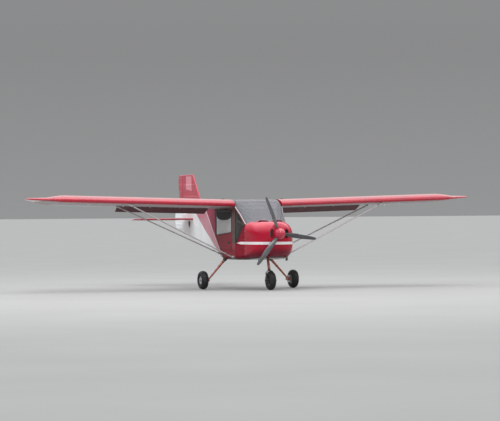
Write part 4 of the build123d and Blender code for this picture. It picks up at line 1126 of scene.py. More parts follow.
def shell(outer, inner, closed=False):
    """Sheet with thickness from two grids of rows."""
    rows, n = len(outer), len(outer[0])
    verts = [p for r in outer for p in r] + [p for r in inner for p in r]
    k = rows * n
    faces = []
    for i in range(rows - 1):
        for j in range(n - 1):
            a, b, c, d = i * n + j, i * n + j + 1, (i + 1) * n + j + 1, (i + 1) * n + j
            faces += [[a, b, c, d], [k + d, k + c, k + b, k + a]]
    edge = [i * n for i in range(rows)] + [(rows - 1) * n + j for j in range(1, n)] + [i * n + n - 1 for i in range(rows - 2, -1, -1)] + [j for j in range(n - 2, 0, -1)]
    for a, b in zip(edge, edge[1:] + edge[:1]):
        faces.append([a, b, k + b, k + a])
    return verts, faces


# ------------------------------------------------------------------ cowl scoops, stripe fasteners, inlet cores


def cowl_row(f):
    return [smooth_table([c[0] for c in COWL], [c[k] for c in COWL], f) for k in range(1, 6)]


def cowl_top(f, y):
    hw, z0, z1, r0, r1 = cowl_row(f)
    d = abs(y) - (hw - r1)
    return z1 if d <= 0 else z1 - r1 + math.sqrt(max(0.0, r1 * r1 - d * d))


def cowl_side(f, z):
    hw, z0, z1, r0, r1 = cowl_row(f)
    if z > z1 - r1:
        return hw - r1 + math.sqrt(max(0.0, r1 * r1 - (z - z1 + r1) ** 2))
    if z < z0 + r0:
        return hw - r0 + math.sqrt(max(0.0, r0 * r0 - (z0 + r0 - z) ** 2))
    return hw


def side_normal(f, z):
    e = 0.004
    a = Vector((2 * e, cowl_side(f + e, z) - cowl_side(f - e, z), 0))
    b = Vector((0, cowl_side(f, z + e) - cowl_side(f, z - e), 2 * e))
    n = a.cross(b)
    return n if n.y > 0 else -n


bag = Bag()
for side in (1, -1):
    # two low hoods on the cowl's top, open to the front
    y0, y1 = (0.030, 0.282) if side == 1 else (-0.282, -0.030)
    loops_o, loops_i = [], []
    for f in np.linspace(0.655, 0.500, 14):
        t = (0.655 - f) / 0.155
        high = 0.031 * (1 - t ** 1.8) + 0.0012
        inset = 0.012 * t
        lo, li = [], []
        for k in range(19):
            a = k / 18
            y = y0 + inset + (y1 - y0 - 2 * inset) * a
            arch = (1 - abs(2 * a - 1) ** 3.0) ** 0.45
            z = cowl_top(f, y)
            lo.append(Vector((DX + f, y, z - 0.001 + high * arch)))
            li.append(Vector((DX + f, y + (0.004 if a < 0.5 else -0.004) * abs(2 * a - 1) ** 3, z - 0.002 + max(0.0, high - 0.004) * arch)))
        loops_o.append(lo)
        loops_i.append(li)
    # rolled front lip between the outer and the inner skin
    lip = [Vector((o.x + 0.003, (o.y + i.y) / 2, (o.z + i.z) / 2)) for o, i in zip(loops_o[0], loops_i[0])]
    # painted shade: the hood's inner skin takes the near-black material, for the shade inside the opening
    v, f_, m = rings(loops_o[::-1] + [lip] + loops_i, closed=False, cap0=False, cap1=False, mat=lambda i, j: 1 if i > len(loops_o) else 0)
    bag.put(v, f_, m)
    # painted shade: the duct under each slot is near-black, standing in for the shade inside
    duct = [[Vector((DX + f, y, cowl_top(f, y) - 0.012 - 0.030 * math.sin(math.pi * (f - 0.575) / 0.095))) for y in np.linspace(y0 - 0.004, y1 + 0.004, 12)] for f in np.linspace(0.575, 0.670, 8)]
    v, f_ = shell(duct, [[p - Vector((0, 0, 0.003)) for p in r] for r in duct])
    bag.put(v, f_, 1)
scoops = bag.make("cowl_scoops", "airframe", ["cowl", "dark"], "red_composite", 50, weld=1e-5)

bag = Bag()
for f in np.arange(0.44, 1.06, 0.088):
    for z in (COWL_SPLIT + 0.024, COWL_SPLIT - 0.024):
        bag.put(*dome((DX + f, cowl_side(f, z) - 0.0005, z), side_normal(f, z), 0.0075, 0.0028, 12))
for z in (0.76, 0.86, 1.06, 1.14, 1.22, 1.30):
    bag.put(*dome((DX + 0.416, cowl_side(0.416, z) - 0.0005, z), side_normal(0.416, z), 0.0075, 0.0028, 12))
bag.mirrored()
for y in np.linspace(-0.28, 0.28, 7):
    bag.put(*dome((DX + 0.416, y, cowl_top(0.416, y) - 0.0005), (0, 0, 1), 0.0075, 0.0028, 12))
bag.make("cowl_fasteners", "airframe", ["plated"], "fitting", 40)

bag = Bag()
for side in (1, -1):
    for k in range(12):
        z = COWL_C - 0.100 + k * 0.0182
        bag.put(*block((DX + 1.075, side * 0.165, z), (0.020, 0.090, 0.0045), 0.001))
    for y in (0.122, 0.208):
        bag.put(*block((DX + 1.075, side * y, COWL_C), (0.026, 0.006, 0.222), 0.002))
    bag.put(*block((DX + 1.062, side * 0.165, COWL_C), (0.004, 0.084, 0.215), 0.001))
bag.make("cooler_cores", "airframe", ["core"], "engine_alloy", 40)

# ------------------------------------------------------------------ cabin glass
GLASS_F = [-0.900, -0.560, -0.390, -0.240, -0.110, 0.0, 0.200, 0.445]
GLASS_TOP = [1.860, 1.893, 1.898, 1.890, 1.868, 1.818, 1.655, 1.400]
GLASS_HW = [0.531, 0.531, 0.531, 0.531, 0.531, 0.531, 0.505, 0.474]
GLASS_R = [0.028, 0.030, 0.034, 0.045, 0.080, 0.120, 0.190, 0.150]
GLASS_CROWN = [0.004, 0.006, 0.006, 0.008, 0.012, 0.014, 0.014, 0.006]


def glass_row(f):
    return [smooth_table(GLASS_F, col, f) for col in (GLASS_HW, GLASS_TOP, GLASS_R, GLASS_CROWN)]


def glass_y(f, z, off=0.0):
    hw, top, r, crown = glass_row(f)
    hw, top = hw + off, top + off
    if z <= top - r:
        return hw
    return hw - r + math.sqrt(max(0.0, r * r - (z - top + r) ** 2))


def glass_over(f, zb, n, off=0.0):
    """n points over the glass at station f, from height zb on the left to zb on the right."""
    hw, top, r, crown = glass_row(f)
    hw, top = hw + off, top + off
    half = []
    if zb < top - r - 0.001:
        half += [(hw, z) for z in np.linspace(zb, top - r, 20)[:-1]]
        a0 = 0.0
    else:
        a0 = math.asin(min(1.0, (zb - top + r) / r))
    half += [(hw - r + r * math.cos(t), top - r + r * math.sin(t)) for t in np.linspace(a0, math.pi / 2, 30)]
    half += [(y, top) for y in np.linspace(hw - r, 0, 30)[1:]]
    pts = [(y, z + crown * (1 - (y / hw) ** 2)) for y, z in half]
    pts += [(-y, z) for y, z in pts[-2::-1]]
    p = np.array(pts)
    d = np.concatenate([[0], np.cumsum(np.hypot(*np.diff(p, axis=0).T))])
    s = np.linspace(0, d[-1], n)
    return [Vector((DX + f, float(y), float(z))) for y, z in zip(np.interp(s, d, p[:, 0]), np.interp(s, d, p[:, 1]))]


def post_z(f):
    """The slanting lower edge of the windshield."""
    return 1.716 + (0.022 - f) * 0.6875 if f < 0.022 else 1.318 + (0.460 - f) * 0.90868


wf = list(np.linspace(0.442, 0.040, 22)) + [0.022, 0.010, 0.0, -0.0100]
wind = Bag().put(*shell([glass_over(f, post_z(f), 64) for f in wf], [glass_over(f, post_z(f), 64, -0.005) for f in wf]))
wind = wind.make("windshield_screen", "airframe", ["windshield"], "clear_acrylic", 60)
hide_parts("windshield")
rf = [-0.0106, -0.02, -0.035, -0.055, -0.08, -0.11, -0.15, -0.20, -0.26, -0.33, -0.42, -0.52, -0.62, -0.72, -0.82, -0.8995]
roof_edge = table([(-0.9, 1.828), (-0.39, 1.858), (-0.24, 1.846), (-0.11, 1.800), (-0.0106, 1.7384)])
roof = Bag().put(*shell([glass_over(f, roof_edge(f), 56) for f in rf], [glass_over(f, roof_edge(f), 56, -0.006) for f in rf]))
roof = roof.make("roof_window_screen", "airframe", ["windshield"], "clear_acrylic", 60)
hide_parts("roof_window")

quarter_low = table([(0.0, 0.985), (0.060, 0.985), (0.372, 1.352)])
quarter_high = table([(0.0, 1.644), (0.008, 1.668), (0.022, 1.710), (0.372, 1.352)])
qf = [0.008, 0.014, 0.022] + list(np.linspace(0.045, 0.366, 16))
grid_o, grid_i = [], []
for f in qf:
    zs = np.linspace(quarter_low(f), quarter_high(f), 18)
    grid_o.append([Vector((DX + f, glass_y(f, z), z)) for z in zs])
    grid_i.append([Vector((DX + f, glass_y(f, z) - 0.005, z)) for z in zs])
quarter = Bag().put(*shell(grid_o, grid_i)).mirrored().make("quarter_window_panes", "airframe", ["quarter"], "clear_acrylic", 60)
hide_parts("quarter_windows")

# posts between windshield and quarter windows, coloured dark brown as painted shade, with the pale joint strip on their
# edge
grid_o, grid_i = [], []
for f in [-0.004, 0.008, 0.022] + list(np.linspace(0.045, 0.400, 20)):
    zs = np.linspace(max(quarter_high(min(f, 0.372)) - 0.012, quarter_low(min(f, 0.372)) - 0.004), post_z(f) + 0.004, 7)
    grid_o.append([Vector((DX + f, glass_y(f, z) + 0.0035, z)) for z in zs])
    grid_i.append([Vector((DX + f, glass_y(f, z) - 0.012, z)) for z in zs])
Bag().put(*shell(grid_o, grid_i)).mirrored().make("front_posts", "airframe", ["post"], "post_paint", 40)
path, nor = [], []
for f in list(np.linspace(0.402, 0.040, 24)) + [0.022, 0.010, -0.004]:
    z = post_z(f) + 0.006
    path.append(Vector((DX + f, glass_y(f, z) + 0.002, z)))
    e = 0.004
    nor.append(Vector((0, z - post_z(f) + 0.03, 0)) + Vector((0.45, 1.0, 0.42)))
Bag().put(*strip(path, nor, 0.018, 0.0035)).mirrored().make("windshield_edge_strips", "airframe", ["pinstripe"], "strut_paint", 40)
# rubber round the quarter windows, and the windshield's foot
bag = Bag()
edge = [(f, quarter_low(f)) for f in (0.010, 0.060)] + [(f, quarter_low(f)) for f in np.linspace(0.08, 0.362, 10)]
loop = [(f, z) for f, z in edge] + [(f, quarter_high(f)) for f in np.linspace(0.362, 0.030, 12)] + [(0.010, 1.672)] + [(0.010, z) for z in np.linspace(1.6, 1.05, 6)]
pts = [Vector((DX + f, glass_y(f, z) + 0.001, z)) for f, z in loop]
k = len(pts)
ring_loops = []
for i, p in enumerate(pts):
    tan = (pts[(i + 1) % k] - pts[i - 1]).normalized()
    nn = Vector((0.12, 1, 0.15))
    nn = (nn - tan * nn.dot(tan)).normalized()
    s_ = nn.cross(tan)
    ring_loops.append([p + s_ * (math.cos(q) * 0.0085) + nn * (math.sin(q) * 0.0045) for q in (2 * math.pi * j / 8 for j in range(8))])
bag.put(*torus(ring_loops)).mirrored()
foot = glass_over(0.4345, 1.352, 60, 0.001)
nor = [Vector((0.75, p.y * 0.8, 0.66)) for p in foot]
bag.make("window_seals", "airframe", ["seal"], "tyre", 50)
Bag().put(*strip(foot, nor, 0.018, 0.0035, -0.004)).make("windshield_foot_strip", "airframe", ["spinner"], "red_composite", 50)

# rails over the doors, up to the wing's underside, coloured dark brown as painted shade
loops = []
for f in [-0.012, -0.03, -0.05, -0.08, -0.12] + list(np.linspace(-0.17, -0.897, 12)):
    u = -f / CHORD
    zt = wing_place(ROOT_Y, u, low_v(max(u, 0.023)), 0.0).z - 0.002
    loops.append([Vector((DX + f, y, z)) for y, z in ((0.508, 1.7015), (0.531, 1.7015), (0.534, 1.7050), (0.534, zt), (0.531, zt + 0.001), (0.508, zt + 0.001))])
v, f_, m = rings(loops)
Bag().put(v, f_).mirrored().make("cabin_side_rails", "airframe", ["post"], "post_paint", 30)

# gap strips at the wing roots
for part, u0, u1, mat in (("front", -0.235, 0.235, "edge_band"), ("rear", 0.236, 0.985, "tape")):
    line = []
    if part == "front":
        line = [(u, low_v(u)) for u in (0.20, 0.15, 0.11, 0.08, 0.055, BAND_LOW, 0.03)] + LE_LOW[::-1] + LE_UP[1:] + [(u, up_v(u)) for u in U_UP if u <= 0.235]
    else:
        line = [(u, up_v(u)) for u in np.linspace(0.237, 0.985, 30)]
    pts = [wing_place(0.557, u, v) for u, v in line]
    nor = []
    for i in range(len(pts)):
        t = pts[min(i + 1, len(pts) - 1)] - pts[max(i - 1, 0)]
        nor.append(Vector((-t.z, 0, t.x)) * (-1))
    Bag().put(*strip(pts, nor, 0.046, 0.0022)).mirrored().make(f"wing_root_strips_{part}", "airframe", [mat], "red_composite", 40)

# ------------------------------------------------------------------ rear fuselage
REAR = [
    ((-0.725, 0.645), (-1.828, 1.748), 0.535, 0.060), ((-2.750, 0.937), (-3.150, 1.668), 0.275, 0.040),
    ((-4.650, 1.208), (-4.650, 1.580), 0.030, 0.020),
]


def rear_ring(s):
    i = min(1, int(s))
    t = s - i
    a, b = REAR[i], REAR[i + 1]
    bot = Vector(a[0]).lerp(Vector(b[0]), t)
    top = Vector(a[1]).lerp(Vector(b[1]), t)
    hw, r = a[2] + (b[2] - a[2]) * t, a[3] + (b[3] - a[3]) * t
    up = top - bot
    length = up.length
    up /= length
    phase = (s * 4.0) % 1.0
    w = max(0.0, 1 - abs(2 * phase - 1) ** 2.2)
    r = max(r * 0.55, 0.012)
    pts = []
    n = 18

    def add(y, h, wy, wz):
        pts.append((y + wy, h + wz))

    for k in range(n + 1):           # bottom, right to left
        q = k / n
        add((q * 2 - 1) * (hw - r), 0.0, 0.0, 0.0035 * w * (math.sin(math.pi * q) ** 0.8))
    for a_ in (-67.5, -45, -22.5):
        add(hw - r + r * math.cos(rad(a_)), r + r * math.sin(rad(a_)), 0, 0)
    for k in range(n * 2 + 1):       # left side, up, over one stringer
        q = k / (n * 2)
        add(hw, r + q * (length - 2 * r), -0.0045 * w * abs(math.sin(2 * math.pi * q)) ** 0.7 + 0.0022 * math.exp(-((q - 0.5) * (length / 0.016)) ** 2), 0)
    for a_ in (22.5, 45, 67.5):
        add(hw - r + r * math.cos(rad(a_)), length - r + r * math.sin(rad(a_)), 0, 0)
    for k in range(n + 1):           # top
        q = k / n
        add((1 - q * 2) * (hw - r), length, 0.0, -0.0035 * w * (math.sin(math.pi * q) ** 0.8) + 0.008 * (1 - (2 * q - 1) ** 2))
    left = pts[n + 1:n + 1 + 3 + 2 * n + 1 + 3]
    full = pts[:n + 1] + left + pts[n + 1 + len(left):] + [(-y, h) for y, h in left[::-1]]
    return [Vector((DX + bot.x + up.x * h, y, bot.y + up.y * h)) for y, h in full]


loops = [rear_ring(s) for s in sorted({*np.round(np.linspace(0.001, 1, 33), 4), *np.round(np.linspace(1, 2, 33), 4)})]
v, f_, m = rings(loops)
rear = Bag().put(v, f_).make("rear_fuselage_covering", "airframe", ["rear_skin"], "fabric_skin", 30, weld=1e-5)
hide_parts("rear_fuselage")
# the pale moulding along its front edge, both sides
d = (Vector((-1.828, 1.748)) - Vector((-0.725, 0.645)))
path = [Vector((DX - 0.735 + d.x * t, 0.5352, 0.645 + d.y * t)) for t in np.linspace(0.055, 0.985, 30)]
Bag().put(*strip(path, (0, 1, 0), 0.024, 0.004)).mirrored().make("crease_mouldings", "airframe", ["pinstripe"], "strut_paint", 40)

# dark control exits under the stabilizer, with their push rods
bag = Bag()
for side in (1, -1):
    hw = 0.275 - 0.245 * (3.87 - 2.95) / 1.70
    outline = round_poly([(-3.780, 1.428), (-3.950, 1.428), (-3.935, 1.362), (-3.872, 1.288), (-3.812, 1.362)], 0.012, 4)
    nrm = Vector((-0.144, side, 0)).normalized()

    def at(p, h, side=side, nrm=nrm):
        y = 0.275 - 0.245 * (-p[0] - 2.95) / 1.70
        return Vector((DX + p[0], side * (y - 0.002), p[1])) + nrm * (h * 1.0)

    v, f_ = plate(outline, at, 0.014, 0.004)
    bag.put(v, f_)
    bag.put(*tube([(DX - 3.868, side * (hw + 0.006), 1.415), (DX - 3.872, side * (hw + 0.002), 1.470)], 0.010, 10))
bag.make("control_exits", "airframe", ["seal"], "panel_black", 40)

# ------------------------------------------------------------------ tail surfaces
FIN_TOP = 2.480


def upright(c, s, h):
    return Vector((DX + c, h, s))


fin_le = table([(1.50, -3.250), (1.640, -3.310), (2.480, -4.000)])
v, f_, m = fabric_panel(upright, fin_le, lambda s: -4.665, 1.585, FIN_TOP, [1.70, 1.98, 2.24], 0.0185, 0.0185, 0.0045, ends=(False, True))
bag = Bag().put(v, f_, m)
for z in (1.700, 2.380):
    bag.put(*block((DX - 4.6775, 0, z), (0.045, 0.022, 0.008), 0.002), 2)
    bag.put(*turned((DX - 4.700, 0, z), (0, 0, 1), [(-0.004, 0.0052), (0.004, 0.0052), (0.004, 0.013), (-0.004, 0.013)], 20), 2)
fin = bag.make("fin_covering", "airframe", ["tail_fabric", "tail_fabric", "plated"], "red_fabric", 35, weld=1e-6)
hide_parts("fin")

rud_te = table([(1.250, -5.085), (1.330, -5.172), (1.480, -5.200), (1.600, -5.180), (1.715, -5.105), (1.880, -4.955), (2.010, -4.880), (2.190, -4.940), (2.340, -4.957), (2.432, -4.932), (2.466, -4.888), (2.478, -4.860)])
rud_te_s = lambda s: sum(rud_te(s + d) * k for d, k in ((-0.05, 1), (-0.025, 2), (0, 3), (0.025, 2), (0.05, 1))) / 9 if 1.30 < s < 2.36 else rud_te(s)
v, f_, m = fabric_panel(
    upright, lambda s: -4.6815, rud_te_s, 1.252, 2.474, [1.36, 1.52, 1.66, 1.80, 1.94, 2.10, 2.26, 2.40], 0.0185, 0.0085, 0.0035,
    notches=[(1.689, 1.711, 0.044), (2.369, 2.391, 0.044)])
bag = Bag().put(v, f_, m)
for z in (1.700, 2.380):
    bag.put(*tube([(DX - 4.700, 0, z - 0.016), (DX - 4.700, 0, z + 0.016)], 0.005, 12), 2)
rudder = bag.make("rudder_covering", "rudder_surface", ["tail_fabric", "tail_fabric", "plated"], "red_fabric", 35, weld=1e-6)
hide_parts("rudder")

STAB_Z, STAB_TIP = 1.482, 1.275
stab_le = table([(0.0, -3.350), (1.150, -3.810), (1.230, -3.862), (1.275, -3.925)])


def level(c, s, h):
    return Vector((DX + c, s, STAB_Z + h))


v, f_, m = fabric_panel(level, stab_le, lambda s: -4.270, 0.076, STAB_TIP, [0.076, 0.32, 0.61, 0.90, 1.12], 0.0195, 0.0195, 0.005, ends=(False, True))
bag = Bag().put(v, f_, m)
for y in (0.320, 0.900):
    bag.put(*block((DX - 4.281, y, STAB_Z), (0.036, 0.008, 0.020), 0.002), 2)
    bag.put(*turned((DX - 4.300, y, STAB_Z), (0, 1, 0), [(-0.004, 0.0052), (0.004, 0.0052), (0.004, 0.012), (-0.004, 0.012)], 20), 2)
bag.mirrored()
stab = bag.make("stabilizer_covering", "airframe", ["red_fabric", "red_fabric", "plated"], "red_fabric", 35, weld=1e-6)
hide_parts("stabilizer")

DROOP = rad(3.0)


def drooped(c, s, h):
    dc = c + 4.300
    return Vector((DX - 4.300 + dc * math.cos(DROOP) - h * math.sin(-DROOP), s, STAB_Z + h * math.cos(DROOP) + dc * math.sin(DROOP)))


elev_te = table([(0.128, -4.600), (0.200, -4.684), (1.180, -4.676), (1.240, -4.630), (1.275, -4.570)])
v, f_, m = fabric_panel(
    drooped, lambda s: -4.2815, elev_te, 0.129, STAB_TIP, [0.129, 0.40, 0.65, 0.82, 1.08], 0.0175, 0.0080, 0.0035,
    notches=[(0.309, 0.331, 0.042), (0.889, 0.911, 0.042)])
bag = Bag().put(v, f_, m)
for y in (0.320, 0.900):
    bag.put(*tube([(DX - 4.300, y - 0.016, STAB_Z), (DX - 4.300, y + 0.016, STAB_Z)], 0.005, 12), 2)
bag.mirrored()
bag.put(*tube([(DX - 4.300, -0.140, STAB_Z), (DX - 4.300, 0.140, STAB_Z)], 0.0185, 20), 2)
elev = bag.make("elevator_covering", "elevator_surface", ["red_fabric", "red_fabric", "dark_tube"], "red_fabric", 35, weld=1e-6)
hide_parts("elevator")

# ------------------------------------------------------------------ propeller and spinner
PROP_F, PROP_R, BLADE_ANGLES = 1.190, 0.820, (112.0, 232.0, 352.0)
BL_R = [0.040, 0.075, 0.130, 0.210, 0.340, 0.480, 0.620, 0.760, 0.790, 0.806, 0.815, 0.820]
BL_C = [0.044, 0.046, 0.074, 0.096, 0.104, 0.100, 0.084, 0.066, 0.055, 0.041, 0.026, 0.008]
BL_T = [0.042, 0.040, 0.032, 0.026, 0.019, 0.015, 0.011, 0.008, 0.007, 0.006, 0.005, 0.002]
BL_P = [60.0, 57.0, 46.0, 34.0, 25.0, 20.0, 16.0, 13.0, 12.5, 12.2, 12.0, 12.0]


def blade(angle, mat_edge=True):
    a = rad(angle)
    radial = Vector((0, math.cos(a), math.sin(a)))
    around = Vector((0, -math.sin(a), math.cos(a)))
    loops = []
    rs = list(np.linspace(0.040, 0.76, 40)) + [0.775, 0.785, 0.795, 0.803, 0.809, 0.814, 0.8175, 0.8195]
    for r in rs:
        c, t, p = (smooth_table(BL_R, col, r) for col in (BL_C, BL_T, BL_P))
        p = rad(p)
        cw = around * math.cos(p) + Vector((1, 0, 0)) * math.sin(p)
        nn = radial.cross(cw)
        if nn.x < 0:
            nn = -nn
        o = Vector((DX + PROP_F, 0, PROP_Z)) + radial * r
        rnd = max(0.0, min(1.0, (0.16 - r) / 0.09))
        lp = []
        for k in range(22):
            q = 2 * math.pi * k / 22
            x = math.cos(q) * c / 2
            s = math.sin(q)
            y = s * t / 2 * (1.0 if s > 0 else (0.45 + 0.55 * rnd)) * (1 + (1 - rnd) * 0.35 * math.cos(q))
            lp.append(o + cw * x + nn * y)
        loops.append(lp)
    return rings(loops, mat=lambda i, j: 1 if mat_edge and rs[i] > 0.40 and j in (21, 0) else 0)


bag = Bag()
for a in BLADE_ANGLES:
    bag.put(*blade(a))
hub_o = (DX + PROP_F, 0, PROP_Z)
bag.put(*lathe(hub_o, (1, 0, 0), [(-0.024, 0.050), (-0.022, 0.060), (-0.016, 0.062), (0.022, 0.062), (0.028, 0.058), (0.030, 0.040)], 40), 2)
bag.put(*lathe(hub_o, (1, 0, 0), [(-0.180, 0.020), (-0.022, 0.020), (-0.020, 0.030)], 32), 2)
for k in range(6):
    t = math.pi / 3 * k + 0.3
    bag.put(*hexbolt((DX + PROP_F + 0.030, 0.044 * math.cos(t), PROP_Z + 0.044 * math.sin(t)), (1, 0, 0), 0.0065, 0.006), 2)
prop = bag.make("propeller_blades", "propeller_assembly", ["blade", "sheet", "plated"], "blade", 35)
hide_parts("propeller")

sp = [(x * 0.184, 0.125 * math.sqrt(max(0.0, 1 - x ** 1.72))) for x in list(np.linspace(0, 0.80, 18)) + [0.866, 0.92, 0.961, 0.986, 0.996]]
ob = Bag().put(*lathe((DX + 1.162, 0, PROP_Z), (1, 0, 0), [(0.0, 0.122)] + sp, 72)).make("spinner_dome", None, ["spinner", "dark"], None, 40)
cuts = []
for a in BLADE_ANGLES:
    a = rad(a)
    radial = Vector((0, math.cos(a), math.sin(a)))
    around = Vector((0, -math.sin(a), math.cos(a)))
    p = rad(56.0)
    cw = around * math.cos(p) + Vector((1, 0, 0)) * math.sin(p)
    nn = radial.cross(cw)
    o = Vector((DX + PROP_F, 0, PROP_Z))
    lps = [[o + radial * r + cw * (0.0305 * math.cos(q)) + nn * (0.0265 * math.sin(q)) for q in (2 * math.pi * k / 28 for k in range(28))] for r in (0.050, 0.150)]
    v, f_, m = rings(lps)
    cuts.append(cutter((v, f_)))
core = [(x * 0.95, max(0.002, r * 0.95 - 0.001)) for x, r in sp[:-1]]
cuts.append(cutter(lathe((DX + 1.1605, 0, PROP_Z), (1, 0, 0), core, 48)))
ob = baked(ob, cuts)
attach(ob, "propeller_assembly")
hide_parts("spinner")
bag = Bag()
for k in range(9):
    t = 2 * math.pi * k / 9 + 0.15
    n_ = Vector((0.05, math.cos(t), math.sin(t)))
    bag.put(*dome((DX + 1.171, 0.1243 * math.cos(t), PROP_Z + 0.1243 * math.sin(t)), n_, 0.0042, 0.0018, 10))
bag.make("spinner_screws", "propeller_assembly", ["plated"], "fitting", 40)

# ------------------------------------------------------------------ wheels and landing gear
MAIN_F, TRACK_Y, NOSE_F, TYRE_R, RIM_R = -0.625, 1.030, 0.660, 0.195, 0.084


def tyre_profile(w):
    s, h = w / 2, TYRE_R - RIM_R
    side = arc3((RIM_R, 0.62 * s), (RIM_R + 0.42 * h, s), (RIM_R + 0.78 * h, 0.86 * s), 8, 7)
    side[5:5] = [(side[5][0] - 0.0015, side[5][1] + 0.0018)]
    tread = arc3((RIM_R + 0.78 * h, 0.86 * s), (TYRE_R, 0), (RIM_R + 0.78 * h, -0.86 * s), 40, 40)
    tr, ty = np.array(tread).T
    o = np.argsort(ty)
    on = lambda y: float(np.interp(y, ty[o], tr[o]))
    ys = []
    for g in (0.66, 0.33, 0.0):
        c = g * s
        ys += [(c + 0.0042, 0), (c + 0.0030, -0.0048), (c - 0.0030, -0.0048), (c - 0.0042, 0)]
        ys += [(c - 0.008 - 0.33 * s * k / 4, 0) for k in range(4) if c - 0.008 - 0.33 * s * k / 4 > c - 0.33 * s + 0.0055]
    ys = [q for q in ys if q[0] > -0.0045]
    half = [(y, r) for r, y in side] + [(y, on(y) + d) for y, d in ys if y > 0]
    full = half + [(-y, r) for y, r in half[::-1]]
    return full


def tyre(name, body, node, at, w):
    ob = Bag().put(*turned(at, (0, 1, 0), tyre_profile(w), 88)).make(name, body, ["tyre"], "tyre", 38)
    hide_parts(node)


def wheel_parts(name, body, node, at, w, inner, n_bolts=6):
    """Split rim: two dished halves, bolts, a valve and the hub. inner: side of the brake, or 0."""
    s, at = w / 2, Vector(at)
    bag = Bag()
    prof = [(-0.60 * s, RIM_R - 0.001)]
    for y, r in ((-0.60 * s, RIM_R - 0.004), (-0.585 * s, RIM_R - 0.0065), (-0.40 * s, RIM_R - 0.010), (-0.36 * s, RIM_R - 0.013), (-0.33 * s, RIM_R - 0.020),
                 (-0.31 * s, 0.050), (-0.36 * s, 0.046), (-0.056, 0.0445), (-0.0575, 0.042), (-0.0575, 0.024), (-0.0560, 0.0215), (-0.050, 0.0206)):
        prof.append((y, r))
    prof = prof + [(-y, r) for y, r in prof[::-1]]
    bag.put(*turned(at, (0, 1, 0), prof, 64))
    for side in (1, -1):
        o = at + Vector((0, side * 0.60 * s, 0))
        bag.put(*turned(o, (0, side, 0), [(-0.003, RIM_R - 0.002), (0.0025, RIM_R - 0.002), (0.0045, RIM_R + 0.001), (0.0045, RIM_R + 0.0045), (0.002, RIM_R + 0.006), (-0.003, RIM_R + 0.005)], 64))
        for k in range(n_bolts):
            t = 2 * math.pi * (k + 0.5) / n_bolts
            c = at + Vector((0.0605 * math.cos(t), side * 0.325 * s, 0.0605 * math.sin(t)))
            bag.put(*hexbolt(c, (0, side, 0), 0.0052, 0.0045), 1)
        for k in range(n_bolts):
            t = 2 * math.pi * k / n_bolts
            c = at + Vector((0.0605 * math.cos(t), side * 0.3225 * s, 0.0605 * math.sin(t)))
            bag.put(*lathe(c, (0, side, 0), [(0.0, 0.0078), (0.0012, 0.0078), (0.0013, 0.0062), (0.0004, 0.0060)], 16), 2)
    t = rad(75)
    v0 = at + Vector((0.070 * math.cos(t), 0.36 * s, 0.070 * math.sin(t)))
    bag.put(*tube([v0, v0 + Vector((-0.004, 0.012, -0.012)), v0 + Vector((-0.006, 0.024, -0.020))], [0.0036, 0.0030, 0.0026], 10), 2)
    bag.put(*lathe(v0 + Vector((-0.0062, 0.0245, -0.0204)), (-0.1, 0.82, -0.55), [(0, 0.0042), (0.008, 0.0042), (0.010, 0.003)], 12), 2)
    if inner:
        disc = [(0.0, 0.036), (0.0, 0.0775), (0.0008, 0.078), (0.0042, 0.078), (0.005, 0.0775), (0.005, 0.036)]
        o = Vector((at.x, inner * 0.9335, at.z))
        bag.put(*turned(o, (0, inner, 0), disc, 56), 3)
        bag.put(*turned(o, (0, inner, 0), [(0.004, 0.033), (0.004, 0.046), (0.012, 0.048), (0.042, 0.044), (0.042, 0.033)], 40))
        for k in range(5):
            q = 2 * math.pi * k / 5
            bag.put(*hexbolt(o + Vector((0.0415 * math.cos(q), 0, 0.0415 * math.sin(q))), (0, -inner, 0), 0.0042, 0.003), 1)
    ob = bag.make(name, body, ["alloy" if inner else "dark_rim", "plated" if inner else "seal", "seal", "sheet"], "wheel_rim", 35)
    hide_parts(node)


for side, sg in (("left", 1), ("right", -1)):
    at = (DX + MAIN_F, sg * TRACK_Y, TYRE_R)
    tyre(side + "_main_tyre_rubber", side + "_main_wheel", side + "_main_tyre", at, 0.150)
    wheel_parts(side + "_main_rim", side + "_main_wheel", side + "_main_hub", at, 0.150, sg)
at = (DX + NOSE_F, 0, TYRE_R)
tyre("nose_tyre_rubber", "nose_wheel", "nose_tyre", at, 0.135)
wheel_parts("nose_rim", "nose_wheel", "nose_hub", at, 0.135, 0, 4)

corner_y, corner_z = 0.435, 0.725
lean = rad(48.0)
leg_a = Vector((DX + MAIN_F - 0.025, corner_y + 0.085 * math.cos(lean), corner_z - 0.085 * math.sin(lean)))
leg_b = Vector((DX + MAIN_F, 0.905, 0.205))
leg_d = (leg_b - leg_a).normalized()
leg_n = (leg_b - leg_a).length
leg_r = lambda t: 0.030 + (0.017 - 0.030) * t
bag = Bag()
